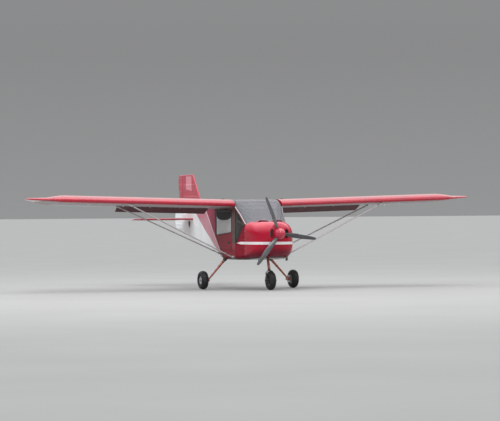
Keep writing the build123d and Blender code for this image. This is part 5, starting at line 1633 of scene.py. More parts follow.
# a boot where the leg enters the fuselage, clamps for the brake line, the flange's bolts, the calliper, the axle nut
t0 = 0.085
c = leg_a + leg_d * (leg_n * t0)
bag.put(*turned(c, leg_d, [(-0.030, 0.0298), (-0.030, 0.041), (-0.022, 0.0435), (-0.010, 0.0395), (0.0, 0.0405), (0.010, 0.0365), (0.020, 0.0370), (0.030, 0.0330), (0.034, 0.0295)], 32), 1)
back = (Vector((-1, 0, 0)) - leg_d * (-leg_d.x)).normalized()
line = [leg_a + leg_d * (leg_n * t) + back * (leg_r(t) + 0.0046) for t in np.linspace(0.10, 0.90, 15)]
line += [Vector((DX + MAIN_F - 0.040, 0.900, 0.246)), Vector((DX + MAIN_F - 0.058, 0.909, 0.2365))]
bag.put(*tube(bend(line, 4), 0.0036, 8), 1)
for t in (0.20, 0.40, 0.60, 0.80):
    c = leg_a + leg_d * (leg_n * t)
    r = leg_r(t)
    bag.put(*turned(c, leg_d, [(-0.006, r - 0.0005), (-0.006, r + 0.0018), (0.006, r + 0.0018), (0.006, r - 0.0005)], 28), 1)
    bag.put(*block(c + back * (r + 0.0050), (0.014, 0.012, 0.012), 0.002, (back, leg_d.cross(back), leg_d)), 1)
fl = Vector((DX + MAIN_F, 0.891, TYRE_R))
for k in range(4):
    q = math.pi / 4 + math.pi / 2 * k
    bag.put(*hexbolt(fl + Vector((0.0255 * math.cos(q), 0, 0.0255 * math.sin(q))), (0, -1, 0), 0.0048, 0.004), 2)
bag.put(*hexbolt((DX + MAIN_F, 1.0925, TYRE_R), (0, 1, 0), 0.0195, 0.012), 2)
bag.put(*tube([(DX + MAIN_F, 1.108, TYRE_R - 0.021), (DX + MAIN_F, 1.108, TYRE_R + 0.021)], 0.0018, 8), 2)
bag.put(*block((DX + MAIN_F - 0.0915, 0.940, TYRE_R + 0.004), (0.014, 0.030, 0.062), 0.004), 3)
bag.put(*block((DX + MAIN_F - 0.0735, 0.9495, TYRE_R + 0.004), (0.048, 0.011, 0.058), 0.004), 3)
bag.put(*block((DX + MAIN_F - 0.0600, 0.9275, TYRE_R + 0.004), (0.044, 0.0035, 0.046), 0.001), 1)
for dz in (-0.018, 0.026):
    bag.put(*hexbolt((DX + MAIN_F - 0.0915, 0.955, TYRE_R + dz), (0, 1, 0), 0.0052, 0.004), 2)
bag.mirrored().make("leg_fittings", "airframe", ["leg", "seal", "plated", "engine"], "fitting", 40)

# nose fork fittings
sd = (Vector((0.497, 0, 0.680)) - Vector((0.650, 0, 0.190))).normalized()
on_leg = lambda z: Vector((DX + 0.497, 0, 0.680)) + sd * ((z - 0.680) / sd.z)
# the leg's tube and sleeve, and a round-topped fork close over the tyre
bag = Bag()
down = lambda z: (z - 0.405) / sd.z
bag.put(*turned(on_leg(0.405), sd, [(0, 0.0006), (0, 0.0262), (0.003, 0.027), (down(0.697), 0.027), (down(0.700), 0.0262), (down(0.700), 0.021), (down(0.903), 0.021), (down(0.905), 0.0198), (down(0.905), 0.0006)], 32))
hub_c = Vector((DX + NOSE_F, 0, TYRE_R))
up_ = Vector((-0.086, 0, 0.241)).normalized()
wide_ = up_.cross(Vector((0, 1, 0))).normalized()
path = [(-0.084, s) for s in np.linspace(0.0, 0.140, 8)] + [(-0.084 * math.cos(t), 0.150 + 0.0690 * math.sin(t)) for t in np.linspace(0, math.pi, 41)] + [(0.084, s) for s in np.linspace(0.140, 0.0, 8)]
loops = []
for i, (y, s) in enumerate(path):
    (ya, sa), (yb, sb) = path[max(0, i - 1)], path[min(len(path) - 1, i + 1)]
    t = Vector((yb - ya, sb - sa)).normalized()
    e = max(0.0, (s - 0.150) / 0.069)
    lp = []
    for k in range(20):
        a = 2 * math.pi * (k + 0.5) / 20
        w_ = math.copysign(abs(math.cos(a)) ** 0.35, math.cos(a)) * (0.038 + 0.012 * e) / 2
        h_ = math.copysign(abs(math.sin(a)) ** 0.35, math.sin(a)) * (0.0115 + 0.0045 * e) / 2
        lp.append(hub_c + up_ * (s + t.x * h_) + Vector((0, y - t.y * h_, 0)) + wide_ * w_)
    loops.append(lp)
v, f_, m = rings(loops)
bag.put(v, f_, 1)
for sg in (1, -1):
    bag.put(*turned(hub_c + Vector((0, sg * 0.0775, 0)), (0, sg, 0), [(0, 0.0006), (0, 0.0235), (0.0015, 0.0245), (0.0115, 0.0245), (0.0130, 0.0235), (0.0130, 0.0006)], 32), 1)
    bag.put(*turned(hub_c + Vector((0, sg * 0.030, 0)), (0, sg, 0), [(0, 0.0120), (0.0730, 0.0120), (0.0730, 0.0110), (0.1000, 0.0110), (0.1010, 0.0100), (0.1010, 0.0006)], 28), 2)
fork = bag.make("nose_leg_fork", "nose_strut", ["leg", "dark_rim", "dark_rim"], "strut_paint", 40)
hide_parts("nose_leg")
bag = Bag()
bag.put(*turned(on_leg(0.690), sd, [(-0.012, 0.0268), (-0.012, 0.0325), (0.008, 0.0325), (0.016, 0.0250), (0.016, 0.0208), (0.0, 0.0208)], 32), 1)
bag.put(*turned(on_leg(0.424), sd, [(-0.012, 0.0265), (-0.012, 0.0350), (-0.006, 0.0350), (0.012, 0.0300), (0.012, 0.0265)], 32), 1)
for z in (0.462, 0.520):
    bag.put(*turned(on_leg(z), sd, [(-0.010, 0.0265), (-0.010, 0.0300), (0.010, 0.0300), (0.010, 0.0265)], 32), 0)
    bag.put(*block(on_leg(z) + Vector((-0.033, 0, -0.009)), (0.014, 0.022, 0.016), 0.002), 0)
for sg in (1, -1):
    bag.put(*hexbolt((DX + NOSE_F, sg * 0.0905, TYRE_R), (0, sg, 0), 0.0185, 0.010), 1)
    bag.put(*hexbolt(hub_c + up_ * 0.120 + Vector((0, sg * 0.0900, 0)), (0, sg, 0), 0.0050, 0.004), 2)
bag.make("nose_fork_fittings", "nose_strut", ["leg", "seal", "plated"], "fitting", 40)

# ------------------------------------------------------------------ struts
bag = Bag()
fits = Bag()
for f0, y0, z0, f1, y1, up in ((-0.050, 0.560, 0.672, -0.050, 2.935, 0.020), (-0.725, 0.600, 0.750, -0.820, 2.930, 0.012)):
    lo = Vector((DX + f0, y0, z0))
    hi = Vector((DX + f1, y1, WING_LE_Z + math.tan(DIH) * y1 + f1 * math.sin(INC) - up))
    d = (hi - lo).normalized()
    c = (Vector((1, 0, 0)) - d * d.x).normalized()
    n = d.cross(c)
    length = (hi - lo).length
    loops = []
    for dist in [0.0, 0.02, 0.05, 0.075, 0.10, 0.13, 0.17] + list(np.linspace(0.4, length - 0.4, 12)) + [length - 0.17, length - 0.13, length - 0.10, length - 0.075, length - 0.05]:
        e = min(1.0, max(0.0, (min(dist, length - dist) - 0.05) / 0.10))
        e = e * e * (3 - 2 * e)
        ch, th = 0.042 + 0.020 * e, 0.013 + 0.0135 * e
        lp = []
        for k in range(26):
            q = 2 * math.pi * k / 26
            x = math.cos(q)
            prof = math.sin(q) * (1.0 if x > -0.15 else (1 - ((-x - 0.15) / 0.85) ** 1.6 * 0.62))
            lp.append(lo + d * dist + c * (x * ch / 2) + n * (prof * th / 2))
        loops.append(lp)
    v, f_, m = rings(loops)
    bag.put(v, f_)
    bag.put(*tube([(DX + f0, y0 + 0.014, z0 + 0.006), (DX + f0, 0.532, 0.700)], 0.0115, 16), 1)
    # bracket on the fuselage's corner
    foot_a, foot_b = Vector((DX + f0, 0.505, 0.712 if f0 > -0.4 else 0.735)), lo + d * 0.020
    fd = (foot_b - foot_a).normalized()
    fn_ = Vector((1, 0, 0)).cross(fd)
    for sgn in (1, -1):
        fits.put(*block((foot_a + foot_b) / 2 + Vector((sgn * 0.0225, 0, 0)), ((foot_b - foot_a).length + 0.02, 0.036, 0.0045), 0.0015, (fd, fn_, (1, 0, 0))))
    fits.put(*block(foot_a + fd * 0.010, (0.012, 0.062, 0.086), 0.003, (fd, fn_, (1, 0, 0))))
    fits.put(*tube([lo + d * 0.020 + Vector((-0.030, 0, 0)), lo + d * 0.020 + Vector((0.030, 0, 0))], 0.0065, 12))
    # fork plates and bolts at both ends
    for base, dd in ((lo, d), (hi - d * 0.062, -d)):
        for sgn in (1, -1):
            cen = base + dd * 0.030 + n * (sgn * 0.0095)
            fits.put(*block(cen, (0.078, 0.038, 0.0042), 0.0015, (d, c, n)))
        for q in (0.018, 0.048):
            fits.put(*hexbolt(base + dd * q + n * 0.0118, n, 0.0062, 0.005))
            fits.put(*hexbolt(base + dd * q - n * 0.0118, -n, 0.0062, 0.005))
    # collar at mid-span of the taper
    for dist in (0.175, length - 0.175):
        cc = lo + d * dist
        fits.put(*torus([[cc + d * dx + c * (math.cos(2 * math.pi * k / 26) * (0.0322 + dr)) + n * (math.sin(2 * math.pi * k / 26) * (0.0144 + dr)) for k in range(26)] for dx, dr in ((-0.006, -0.001), (-0.006, 0.0012), (0.006, 0.0012), (0.006, -0.001))]), 1)
struts = bag.mirrored().make("wing_struts", "airframe", ["strut", "plated"], "strut_paint", 35)
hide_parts("front_struts", "rear_struts")
fits.mirrored().make("strut_fittings", "airframe", ["plated", "seal"], "fitting", 35)

# ------------------------------------------------------------------ doors
WIN = [(-0.215, 1.662), (-1.140, 1.662), (-1.140, 1.142), (-0.215, 1.206)]
for side, sg in (("left", 1), ("right", -1)):
    body = side + "_door_leaf"
    bag = Bag()
    ring_ = round_poly(WIN, 0.047, 8)
    for y, hh in ((0.5352, 0.005), (0.5048, 0.004)):
        bag.put(*hoop([(DX + p.x, sg * y, p.y) for p in ring_], (0, 1, 0), 0.016, hh * 2))
    bag.make(side + "_door_window_seal", body, ["seal"], "tyre", 60)
    # painted shade and reflection: a dark sheet on the window's upper part, standing in for the shade under the wing
    # and the dark reflected in the window; its lower edge a shallow curve
    film = [(-0.235, 1.650), (-0.675, 1.650), (-1.120, 1.650)] + [(-0.6775 - 0.4425 * math.cos(t), 1.598 - 0.138 * math.sin(t) ** 0.62) for t in (math.pi * k / 40 for k in range(41))]
    v, f_ = plate(film, lambda p, h: Vector((DX + p[0], sg * (0.5263 + h), p[1])), 0.0012, 0.0004)
    Bag().put(v, f_).make(side + "_window_painted_shade_sheet", body, ["film"], "panel_black", 40)
    # painted shade: a dark strip over the window, standing in for the shade between the door and the wing
    v, f_ = plate([(-0.235, 1.6655), (-1.120, 1.6655), (-1.120, 1.6885), (-0.235, 1.6885)], lambda p, h: Vector((DX + p[0], sg * (0.5348 + h), p[1])), 0.0022, 0.0008)
    Bag().put(v, f_).make(side + "_door_top_painted_shade", body, ["film"], "panel_black", 40)
    bag = Bag()
    # door handle, latch and inner pull
    hc = Vector((DX - 0.395, sg * 0.535, 0.985))
    v, f_ = plate(round_poly([(-0.060, -0.022), (0.060, -0.022), (0.060, 0.022), (-0.060, 0.022)], 0.020, 6), lambda p, h: hc + Vector((p[0], sg * h, p[1])), 0.005, 0.002)
    bag.put(v, f_)
    bag.put(*tube([hc + Vector((0.036, sg * 0.003, 0)), hc + Vector((0.036, sg * 0.016, 0)), hc + Vector((0.022, sg * 0.021, 0)), hc + Vector((-0.046, sg * 0.021, -0.002))], [0.0085, 0.0085, 0.0078, 0.0062], 12))
    bag.put(*dome(hc + Vector((0.0, sg * 0.0045, 0)), (0, sg, 0), 0.006, 0.002, 12))
    bag.put(*tube([(DX - 0.30, sg * 0.503, 1.05), (DX - 0.32, sg * 0.487, 1.05), (DX - 0.46, sg * 0.487, 1.05), (DX - 0.48, sg * 0.503, 1.05)], 0.0075, 10), 1)
    for f in (-0.240, -0.850):
        bag.put(*block((DX + f, sg * 0.537, 0.868), (0.052, 0.006, 0.026), 0.002))
        for dx in (-0.016, 0.016):
            bag.put(*dome((DX + f + dx, sg * 0.5398, 0.868), (0, sg, 0), 0.0042, 0.0018, 10))
    # raised stiffening bead along the lower panel
    bag.put(*hoop([(DX + p.x, sg * 0.5350, p.y) for p in round_poly([(-0.235, 1.140), (-1.105, 1.086), (-0.880, 0.872), (-0.235, 0.872)], 0.04, 6)], (0, 1, 0), 0.010, 0.0036), 2)
    bag.make(side + "_door_trim", body, ["dark_tube", "seal", "skin"], "fitting", 40)
    # pocket inside
    bag = Bag()
    pocket = round_poly([(-0.52, 0.905), (-0.86, 0.905), (-0.86, 1.035), (-0.52, 1.035)], 0.025, 5)
    v, f_ = plate(pocket, lambda p, h: Vector((DX + p[0], sg * (0.5045 - h * (1.0 + 8.0 * max(0.0, p[1] - 0.92))), p[1])), 0.009, 0.003)
    bag.put(v, f_)
    bag.make(side + "_door_pocket", body, ["bulkhead"], "fabric_skin", 40)

# ------------------------------------------------------------------ seats
SEAT_Y = 0.245


def pad_mesh(outline, y0, y1, inset, voxel):
    """Closed, rounded pad from a side outline of (f, z), remeshed evenly."""
    c = sum((Vector(p) for p in outline), Vector((0, 0))) / len(outline)
    poly = round_poly(outline, 0.024, 5)
    loops = []
    n = 14
    for k in range(n + 1):
        t = k / n
        y = y0 + inset + (y1 - y0 - 2 * inset) * t
        e = abs(2 * t - 1)
        shrink = inset + 0.016 * max(0.0, (e - 0.86) / 0.14) ** 2
        lp = []
        for p in poly:
            q = Vector(p) - c
            lp.append(Vector((DX + c.x + q.x * (1 - shrink / q.length), y, c.y + q.y * (1 - shrink / q.length))))
        loops.append(lp)
    v, f_, m = rings(loops)
    me = bpy.data.meshes.new("pad")
    me.from_pydata([tuple(p) for p in v], [], f_)
    bm = bmesh.new()
    bm.from_mesh(me)
    bmesh.ops.recalc_face_normals(bm, faces=bm.faces)
    bm.to_mesh(me)
    bm.free()
    ob = bpy.data.objects.new("pad", me)
    scene.collection.objects.link(ob)
    r = ob.modifiers.new("even", "REMESH")
    r.mode, r.voxel_size = "VOXEL", voxel
    me = bpy.data.meshes.new_from_object(ob.evaluated_get(bpy.context.evaluated_depsgraph_get()))
    ob.modifiers.clear()
    ob.data = me
    return ob


def swell(ob, cap, pressure=4.0):
    """Cloth under inner pressure; no point moves further than cap."""
    me = ob.data
    start = np.array([tuple(v.co) for v in me.vertices])
    m = ob.modifiers.new("cloth", "CLOTH")
    st = m.settings
    st.quality, st.mass = 5, 0.30
    st.tension_stiffness = st.compression_stiffness = 15.0
    st.shear_stiffness, st.bending_stiffness = 5.0, 0.5
    st.use_pressure, st.uniform_pressure_force = True, pressure
    st.effector_weights.gravity = 0.0
    m.point_cache.frame_start, m.point_cache.frame_end = 1, 20
    for fr in range(1, 21):
        scene.frame_set(fr)
    dg = bpy.context.evaluated_depsgraph_get()
    end = bpy.data.meshes.new_from_object(ob.evaluated_get(dg))
    now = np.array([tuple(v.co) for v in end.vertices])
    ob.modifiers.clear()
    scene.frame_set(1)
    d = now - start
    far = np.linalg.norm(d, axis=1, keepdims=True)
    now = start + d * np.minimum(1.0, cap / np.maximum(far, 1e-9))
    me.vertices.foreach_set("co", now.ravel())
    me.update()
    return ob


def press(ob, seams, depth, width, facing):
    """Sewn channels: seams are functions of a point giving the distance from the seam."""
    me = ob.data
    nrm = [v.normal.copy() for v in me.vertices]
    for v, n in zip(me.vertices, nrm):
        w = max(0.0, n.dot(facing)) ** 0.5 if n.dot(facing) > 0 else 0.0
        if w > 0:
            d = max(math.exp(-(s(v.co) / width) ** 2) for s in seams)
            v.co = v.co - n * (depth * d * w)
    me.update()


def bvh_of(ob):
    me = ob.data
    me.calc_loop_triangles()
    return BVHTree.FromPolygons([tuple(v.co) for v in me.vertices], [tuple(t.vertices) for t in me.loop_triangles])


def finish_pad(ob, name, mats):
    s = ob.modifiers.new("fine", "SUBSURF")
    s.levels = s.render_levels = 1
    me = bpy.data.meshes.new_from_object(ob.evaluated_get(bpy.context.evaluated_depsgraph_get()))
    bpy.data.objects.remove(ob)
    verts = [tuple(v.co) for v in me.vertices]
    faces = [list(p.vertices) for p in me.polygons]
    b = Bag().put(verts, faces).mirrored()
    return b


BASE = [(-0.322, 0.790), (-0.322, 0.883), (-0.690, 0.870), (-0.766, 0.840), (-0.766, 0.774)]
BACK = [(-0.745, 0.895), (-1.045, 1.428), (-1.108, 1.458), (-1.148, 1.408), (-0.800, 0.822)]
base_pad = swell(pad_mesh(BASE, SEAT_Y - 0.200, SEAT_Y + 0.200, 0.013, 0.009), 0.020)
back_pad = swell(pad_mesh(BACK, SEAT_Y - 0.200, SEAT_Y + 0.200, 0.013, 0.010), 0.020)
back_dir = (Vector((-1.045, 0, 1.428)) - Vector((-0.745, 0, 0.895))).normalized()
front_dir = Vector((back_dir.z, 0, -back_dir.x))
press(base_pad, [lambda p: p.y - SEAT_Y + 0.075, lambda p: p.y - SEAT_Y - 0.075, lambda p: p.x - (DX - 0.395), lambda p: p.x - (DX - 0.650)], 0.0065, 0.0085, Vector((0, 0, 1)))
along = lambda p: (p - Vector((DX - 0.745, 0, 0.895))).dot(back_dir)
press(back_pad, [lambda p: p.y - SEAT_Y + 0.085, lambda p: p.y - SEAT_Y - 0.085, lambda p: along(p) - 0.16, lambda p: along(p) - 0.34, lambda p: along(p) - 0.50], 0.0065, 0.0095, front_dir)
base_tree, back_tree = bvh_of(base_pad), bvh_of(back_pad)


def piping(tree, outline, y, outward):
    """Bead sewn along a pad's side edge, laid on its real surface."""
    c = sum((Vector(p) for p in outline), Vector((0, 0))) / len(outline)
    pts = []
    for p in round_poly(outline, 0.030, 5):
        q = (Vector(p) - c).normalized()
        at_ = Vector((DX + c.x, 0, c.y)) + Vector((q.x, 0, q.y)) * ((Vector(p) - c).length - 0.030)
        start = Vector((at_.x, y - outward * 0.030, at_.z)) + Vector((q.x, outward * 0.9, q.y)).normalized() * 0.16
        hit = tree.ray_cast(start, -Vector((q.x, outward * 0.9, q.y)).normalized(), 0.30)[0]
        if hit is not None:
            pts.append(hit)
    k = len(pts)
    loops = []
    for i, p in enumerate(pts):
        tan = (pts[(i + 1) % k] - pts[i - 1]).normalized()
        a = tan.cross(Vector((0, 1, 0))).normalized()
        b = tan.cross(a)
        loops.append([p + (a * math.cos(t) + b * math.sin(t)) * 0.0042 for t in (2 * math.pi * j / 8 for j in range(8))])
    return torus(loops)


pipes = Bag()
for tree, outline in ((base_tree, BASE), (back_tree, BACK)):
    for y, o in ((SEAT_Y - 0.200, -1), (SEAT_Y + 0.200, 1)):
        pipes.put(*piping(tree, outline, y, o))
pipes.mirrored().make("seat_piping", "airframe", ["seat_edge"], "fabric_skin", 60)
for ob, name, node in ((base_pad, "seat_base_pads", "seat_cushions"), (back_pad, "seat_back_pads", "seat_backs")):
    done = finish_pad(ob, name, ["seat"]).make(name, "airframe", ["seat"], "fabric_skin", 60)
    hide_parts(node)


def webbing(points, w=0.046, t=0.0022, across=(0, 1, 0)):
    """Flat strap along points, its width along the given direction."""
    pts = bend(points, 5)
    loops = []
    for i, p in enumerate(pts):
        tan = (pts[min(i + 1, len(pts) - 1)] - pts[max(i - 1, 0)]).normalized()
        s = Vector(across)
        s = (s - tan * s.dot(tan)).normalized()
        n = tan.cross(s)
        loops.append([p + s * (a * w) + n * (b * t) for a, b in ((-0.5, -0.3), (-0.5, 0.3), (-0.44, 0.5), (0, 0.42), (0.44, 0.5), (0.5, 0.3), (0.5, -0.3), (0.44, -0.5), (-0.44, -0.5))])
    v, f_, m = rings(loops)
    return v, f_


belts, metal_bits = Bag(), Bag()
for dy in (-0.085, 0.085):
    y = SEAT_Y + dy
    front = []
    for s in np.linspace(0.56, 0.20, 8):
        p = Vector((DX - 0.745, y + dy * 0.2 - dy * 0.9 * (0.56 - s), 0.895)) + back_dir * s
        hit = back_tree.ray_cast(p + front_dir * 0.16, -front_dir, 0.30)[0]
        if hit is not None:
            front.append(hit + front_dir * 0.0028)
    top_hit = back_tree.ray_cast(Vector((DX - 1.100, y, 1.70)), Vector((0, 0, -1)), 0.5)[0]
    top_pt = (top_hit or Vector((DX - 1.100, y, 1.462))) + Vector((0, 0, 0.004))
    back_pt = Vector((DX - 1.190, y, 1.480))
    belts.put(*webbing([Vector((DX - 1.640, y, 1.592)), Vector((DX - 1.420, y, 1.548)), back_pt, top_pt] + front))
    metal_bits.put(*block(Vector((DX - 1.650, y, 1.592)), (0.010, 0.060, 0.034), 0.002, ((0.707, 0, -0.707), (0, 1, 0), (0.707, 0, 0.707))))
    if len(front) > 4:
        metal_bits.put(*block(front[3] + front_dir * 0.003, (0.006, 0.056, 0.034), 0.002, (front_dir, (0, 1, 0), back_dir)))
for dy in (-1, 1):
    lap = []
    for k in range(7):
        yy = SEAT_Y + dy * (0.170 - 0.150 * k / 6)
        xx = DX - 0.655 + 0.075 * k / 6
        hit = base_tree.ray_cast(Vector((xx, yy, 1.10)), Vector((0, 0, -1)), 0.5)[0]
        lap.append((hit or Vector((xx, yy, 0.885))) + Vector((0, 0, 0.0032 + 0.010 * (k / 6) ** 2)))
    lap = [Vector((DX - 0.690, SEAT_Y + dy * 0.207, 0.800)), Vector((DX - 0.675, SEAT_Y + dy * 0.206, 0.868))] + lap
    belts.put(*webbing(lap, 0.044, 0.0022, (1, 0, 0.1)))
buckle = (base_tree.ray_cast(Vector((DX - 0.580, SEAT_Y, 1.10)), Vector((0, 0, -1)), 0.5)[0] or Vector((DX - 0.58, SEAT_Y, 0.885))) + Vector((0, 0, 0.019))
metal_bits.put(*block(buckle, (0.056, 0.062, 0.016), 0.004))
metal_bits.put(*block(buckle + Vector((0, 0, 0.0095)), (0.030, 0.034, 0.005), 0.002), 1)
belts.mirrored().make("seat_harnesses", "airframe", ["webbing"], "panel_black", 50)
metal_bits.mirrored().make("harness_fittings", "airframe", ["plated", "knob_red"], "fitting", 40)

# ------------------------------------------------------------------ instrument panel and cabin fittings
bag = Bag()
gx = DX + 0.2800


def gauge(y, z, r, needles):
    o = Vector((gx, y, z))
    bag.put(*turned(o, (-1, 0, 0), [(0.0, r + 0.006), (0.005, r + 0.006), (0.0065, r + 0.003), (0.0065, r), (0.001, r - 0.001), (0.0, r - 0.001)], 40), 0)
    bag.put(*lathe(o, (-1, 0, 0), [(0.0, r), (0.0012, r - 0.0005)], 40), 1)
    for k in range(25):
        t = rad(-135 + 270 * k / 24)
        lng = 0.0060 if k % 4 == 0 else 0.0035
        u = Vector((0, math.sin(t), math.cos(t)))
        c = o + Vector((-0.0016, 0, 0)) + u * (r * 0.93 - lng / 2)
        bag.put(*block(c, (0.0008, 0.0011, lng), 0.0002, ((1, 0, 0), tuple(Vector((1, 0, 0)).cross(u)), tuple(u))), 2)
    for ang, k in needles:
        u = Vector((0, math.sin(rad(ang)), math.cos(rad(ang))))
        s = Vector((1, 0, 0)).cross(u)
        tip, root = o + u * (r * k), o - u * (r * 0.18)
        x = Vector((-0.0030, 0, 0))
        v, f_, m = rings([[root + x + s * 0.0016, root + x - s * 0.0016, root + x * 1.4], [tip + x + s * 0.0004, tip + x - s * 0.0004, tip + x * 1.2]])
        bag.put(v, f_, 2)
    bag.put(*dome(o + Vector((-0.0030, 0, 0)), (-1, 0, 0), 0.0042, 0.0022, 16), 0)
    for k, word in enumerate(("0", "4", "8", "12", "16")):
        t = rad(-135 + 270 * k / 4)
        c = bpy.data.curves.new("n", "FONT")
        c.body, c.size, c.align_x, c.align_y, c.extrude, c.resolution_u = word, r * 0.28, "CENTER", "CENTER", 0.0002, 2
        o2 = bpy.data.objects.new("n", c)
        me = bpy.data.meshes.new_from_object(o2)
        cen = o + Vector((-0.0018, 0, 0)) + Vector((0, math.sin(t), math.cos(t))) * (r * 0.66)
        # seen from behind the panel, +Y is to the left
        pts = [cen + Vector((-p.co.z, -p.co.x, p.co.y)) for p in me.vertices]
        bag.put(pts, [list(p.vertices) for p in me.polygons], 2)
        bpy.data.objects.remove(o2)


for y, z, r, nd in (
    (0.305, 1.285, 0.036, [(-60, 0.8)]), (0.205, 1.285, 0.036, [(20, 0.8), (110, 0.5)]), (0.305, 1.190, 0.036, [(0, 0.75)]),
    (0.205, 1.190, 0.036, [(75, 0.75)]), (0.090, 1.290, 0.029, [(-90, 0.8)]), (0.010, 1.290, 0.029, [(-20, 0.8)]),
    (-0.070, 1.290, 0.029, [(-40, 0.8)]), (0.090, 1.215, 0.029, [(-110, 0.8)]), (0.010, 1.215, 0.029, [(10, 0.8)]), (-0.205, 1.270, 0.036, [(40, 0.8)]),
):
    gauge(y, z, r, nd)
for y, z, w, h in ((-0.310, 1.285, 0.120, 0.060), (-0.310, 1.195, 0.120, 0.070), (-0.085, 1.205, 0.090, 0.060)):
    bag.put(*block((gx - 0.003, y, z), (0.008, w, h), 0.003), 0)
    for dy in (-0.36, 0.36):
        bag.put(*dome((gx - 0.0068, y + dy * w, z + h * 0.36), (-1, 0, 0), 0.0035, 0.0016, 10), 3)
for k in range(7):
    y = 0.130 - 0.043 * k
    bag.put(*lathe((gx, y, 1.145), (-1, 0, 0), [(0, 0.0072), (0.003, 0.0072), (0.0035, 0.004), (0.004, 0.0032), (0.017, 0.0040), (0.019, 0.002)], 14), 3)
for k, y in enumerate((-0.200, -0.255)):
    bag.put(*tube([(gx, y, 1.148), (gx - 0.048, y, 1.148)], 0.0038, 10), 3)
    bag.put(*lathe((gx - 0.046, y, 1.148), (-1, 0, 0), [(0, 0.006), (0.004, 0.0145), (0.014, 0.0150), (0.019, 0.011), (0.020, 0.003)], 20), 4 if k == 0 else 0)
for y in np.linspace(-0.385, 0.385, 6):
    for z in (1.132, 1.340):
        bag.put(*dome((gx - 0.0002, y, z), (-1, 0, 0), 0.0045, 0.0018, 10), 3)
bag.make("instruments", "airframe", ["panel", "dial", "mark", "plated", "knob_red"], "panel_black", 40)

bag = Bag()
loops = []
for y, k in [(-0.404, 0.4), (-0.400, 0.8), (-0.392, 1.0), (-0.30, 1.0), (-0.15, 1.0), (0.0, 1.0), (0.15, 1.0), (0.30, 1.0), (0.392, 1.0), (0.400, 0.8), (0.404, 0.4)]:
    mid = Vector((0.33, 1.374))
    prof = [(0.386, 1.3905), (0.34, 1.3835), (0.29, 1.3745), (0.270, 1.3690), (0.262, 1.3610), (0.262, 1.3520), (0.268, 1.3460), (0.2785, 1.3470), (0.2785, 1.3650), (0.34, 1.3760), (0.386, 1.3850)]
    loops.append([Vector((DX + a, y, mid.y + (b - mid.y) * (0.55 + 0.45 * k))) for a, b in prof])
v, f_, m = rings(loops)
bag.put(v, f_)
# compass on the shield
bag.put(*lathe((DX + 0.325, 0.0, 1.376), (0, 0, 1), [(0, 0.024), (0.008, 0.026), (0.010, 0.020), (0.014, 0.018)], 24), 1)
bag.put(*lathe((DX + 0.352, 0.0, 1.416), (-1, 0, 0), [(0, 0.012), (0.006, 0.026), (0.046, 0.030), (0.052, 0.028), (0.054, 0.020)], 28), 1)
bag.put(*lathe((DX + 0.2985, 0.0, 1.416), (-1, 0, 0), [(0, 0.021), (0.0015, 0.019)], 24), 2)
bag.make("glareshield", "airframe", ["seat", "panel", "dial"], "panel_black", 40)

bag = Bag()
for sg in (1, -1):
    a = Vector((DX - 0.1200, sg * 0.150, 1.070))
    b = Vector((DX - 0.1280, sg * 0.152, 1.175))
    d = (b - a).normalized()
    h = (b - a).length
    prof = [(-0.002, 0.0150), (0.0, 0.0190)]
    for k in range(1, 22):
        t = k / 22
        prof.append((h * t, 0.0186 + 0.0022 * math.sin(t * 4 * 2 * math.pi)))
    prof += [(h + 0.001, 0.0180), (h + 0.009, 0.0150), (h + 0.013, 0.0080)]
    bag.put(*lathe(a, d, prof, 24))
    bag.put(*lathe(b + d * 0.012, d, [(0, 0.0062), (0.005, 0.0060), (0.0065, 0.003)], 14), 1)
boot = [(0.0, 0.062)]
for k in range(5):
    r = 0.058 - 0.008 * k
    boot += [(0.006 + k * 0.014, r), (0.011 + k * 0.014, r - 0.009), (0.017 + k * 0.014, r - 0.007)]
boot += [(0.084, 0.0150)]
bag.put(*lathe((DX - 0.0600, 0, 0.655), (-0.06, 0, 1), boot, 32))
for y in (-0.33, -0.18, 0.18, 0.33):
    n = Vector((-1, 0, 0))
    bag.put(*block((DX + 0.2600, y, 0.870), (0.0045, 0.086, 0.076), 0.0015))
    for k in range(6):
        bag.put(*block((DX + 0.2566, y, 0.842 + 0.0112 * k), (0.0035, 0.074, 0.0052), 0.001))
bag.make("grips_and_boots", "airframe", ["seal", "knob_red"], "tyre", 45)

bag = Bag()
floor_top = lambda f: 0.650 + max(0.0, f) * 0.0358
loops = []
for f in (0.355, 0.345, 0.20, 0.10, 0.0, -0.01, -0.30, -0.68, -0.690):
    w = 0.412 if f in (0.355, -0.690) else 0.420
    loops.append([Vector((DX + f, y, floor_top(f) + z)) for y, z in ((-w, 0.0006), (-w, 0.0046), (-w + 0.003, 0.0064), (0, 0.0066), (w - 0.003, 0.0064), (w, 0.0046), (w, 0.0006))])
v, f_, m = rings(loops)
bag.put(v, f_)
bag.make("cabin_carpet", "airframe", ["carpet"], "fabric_skin", 40)

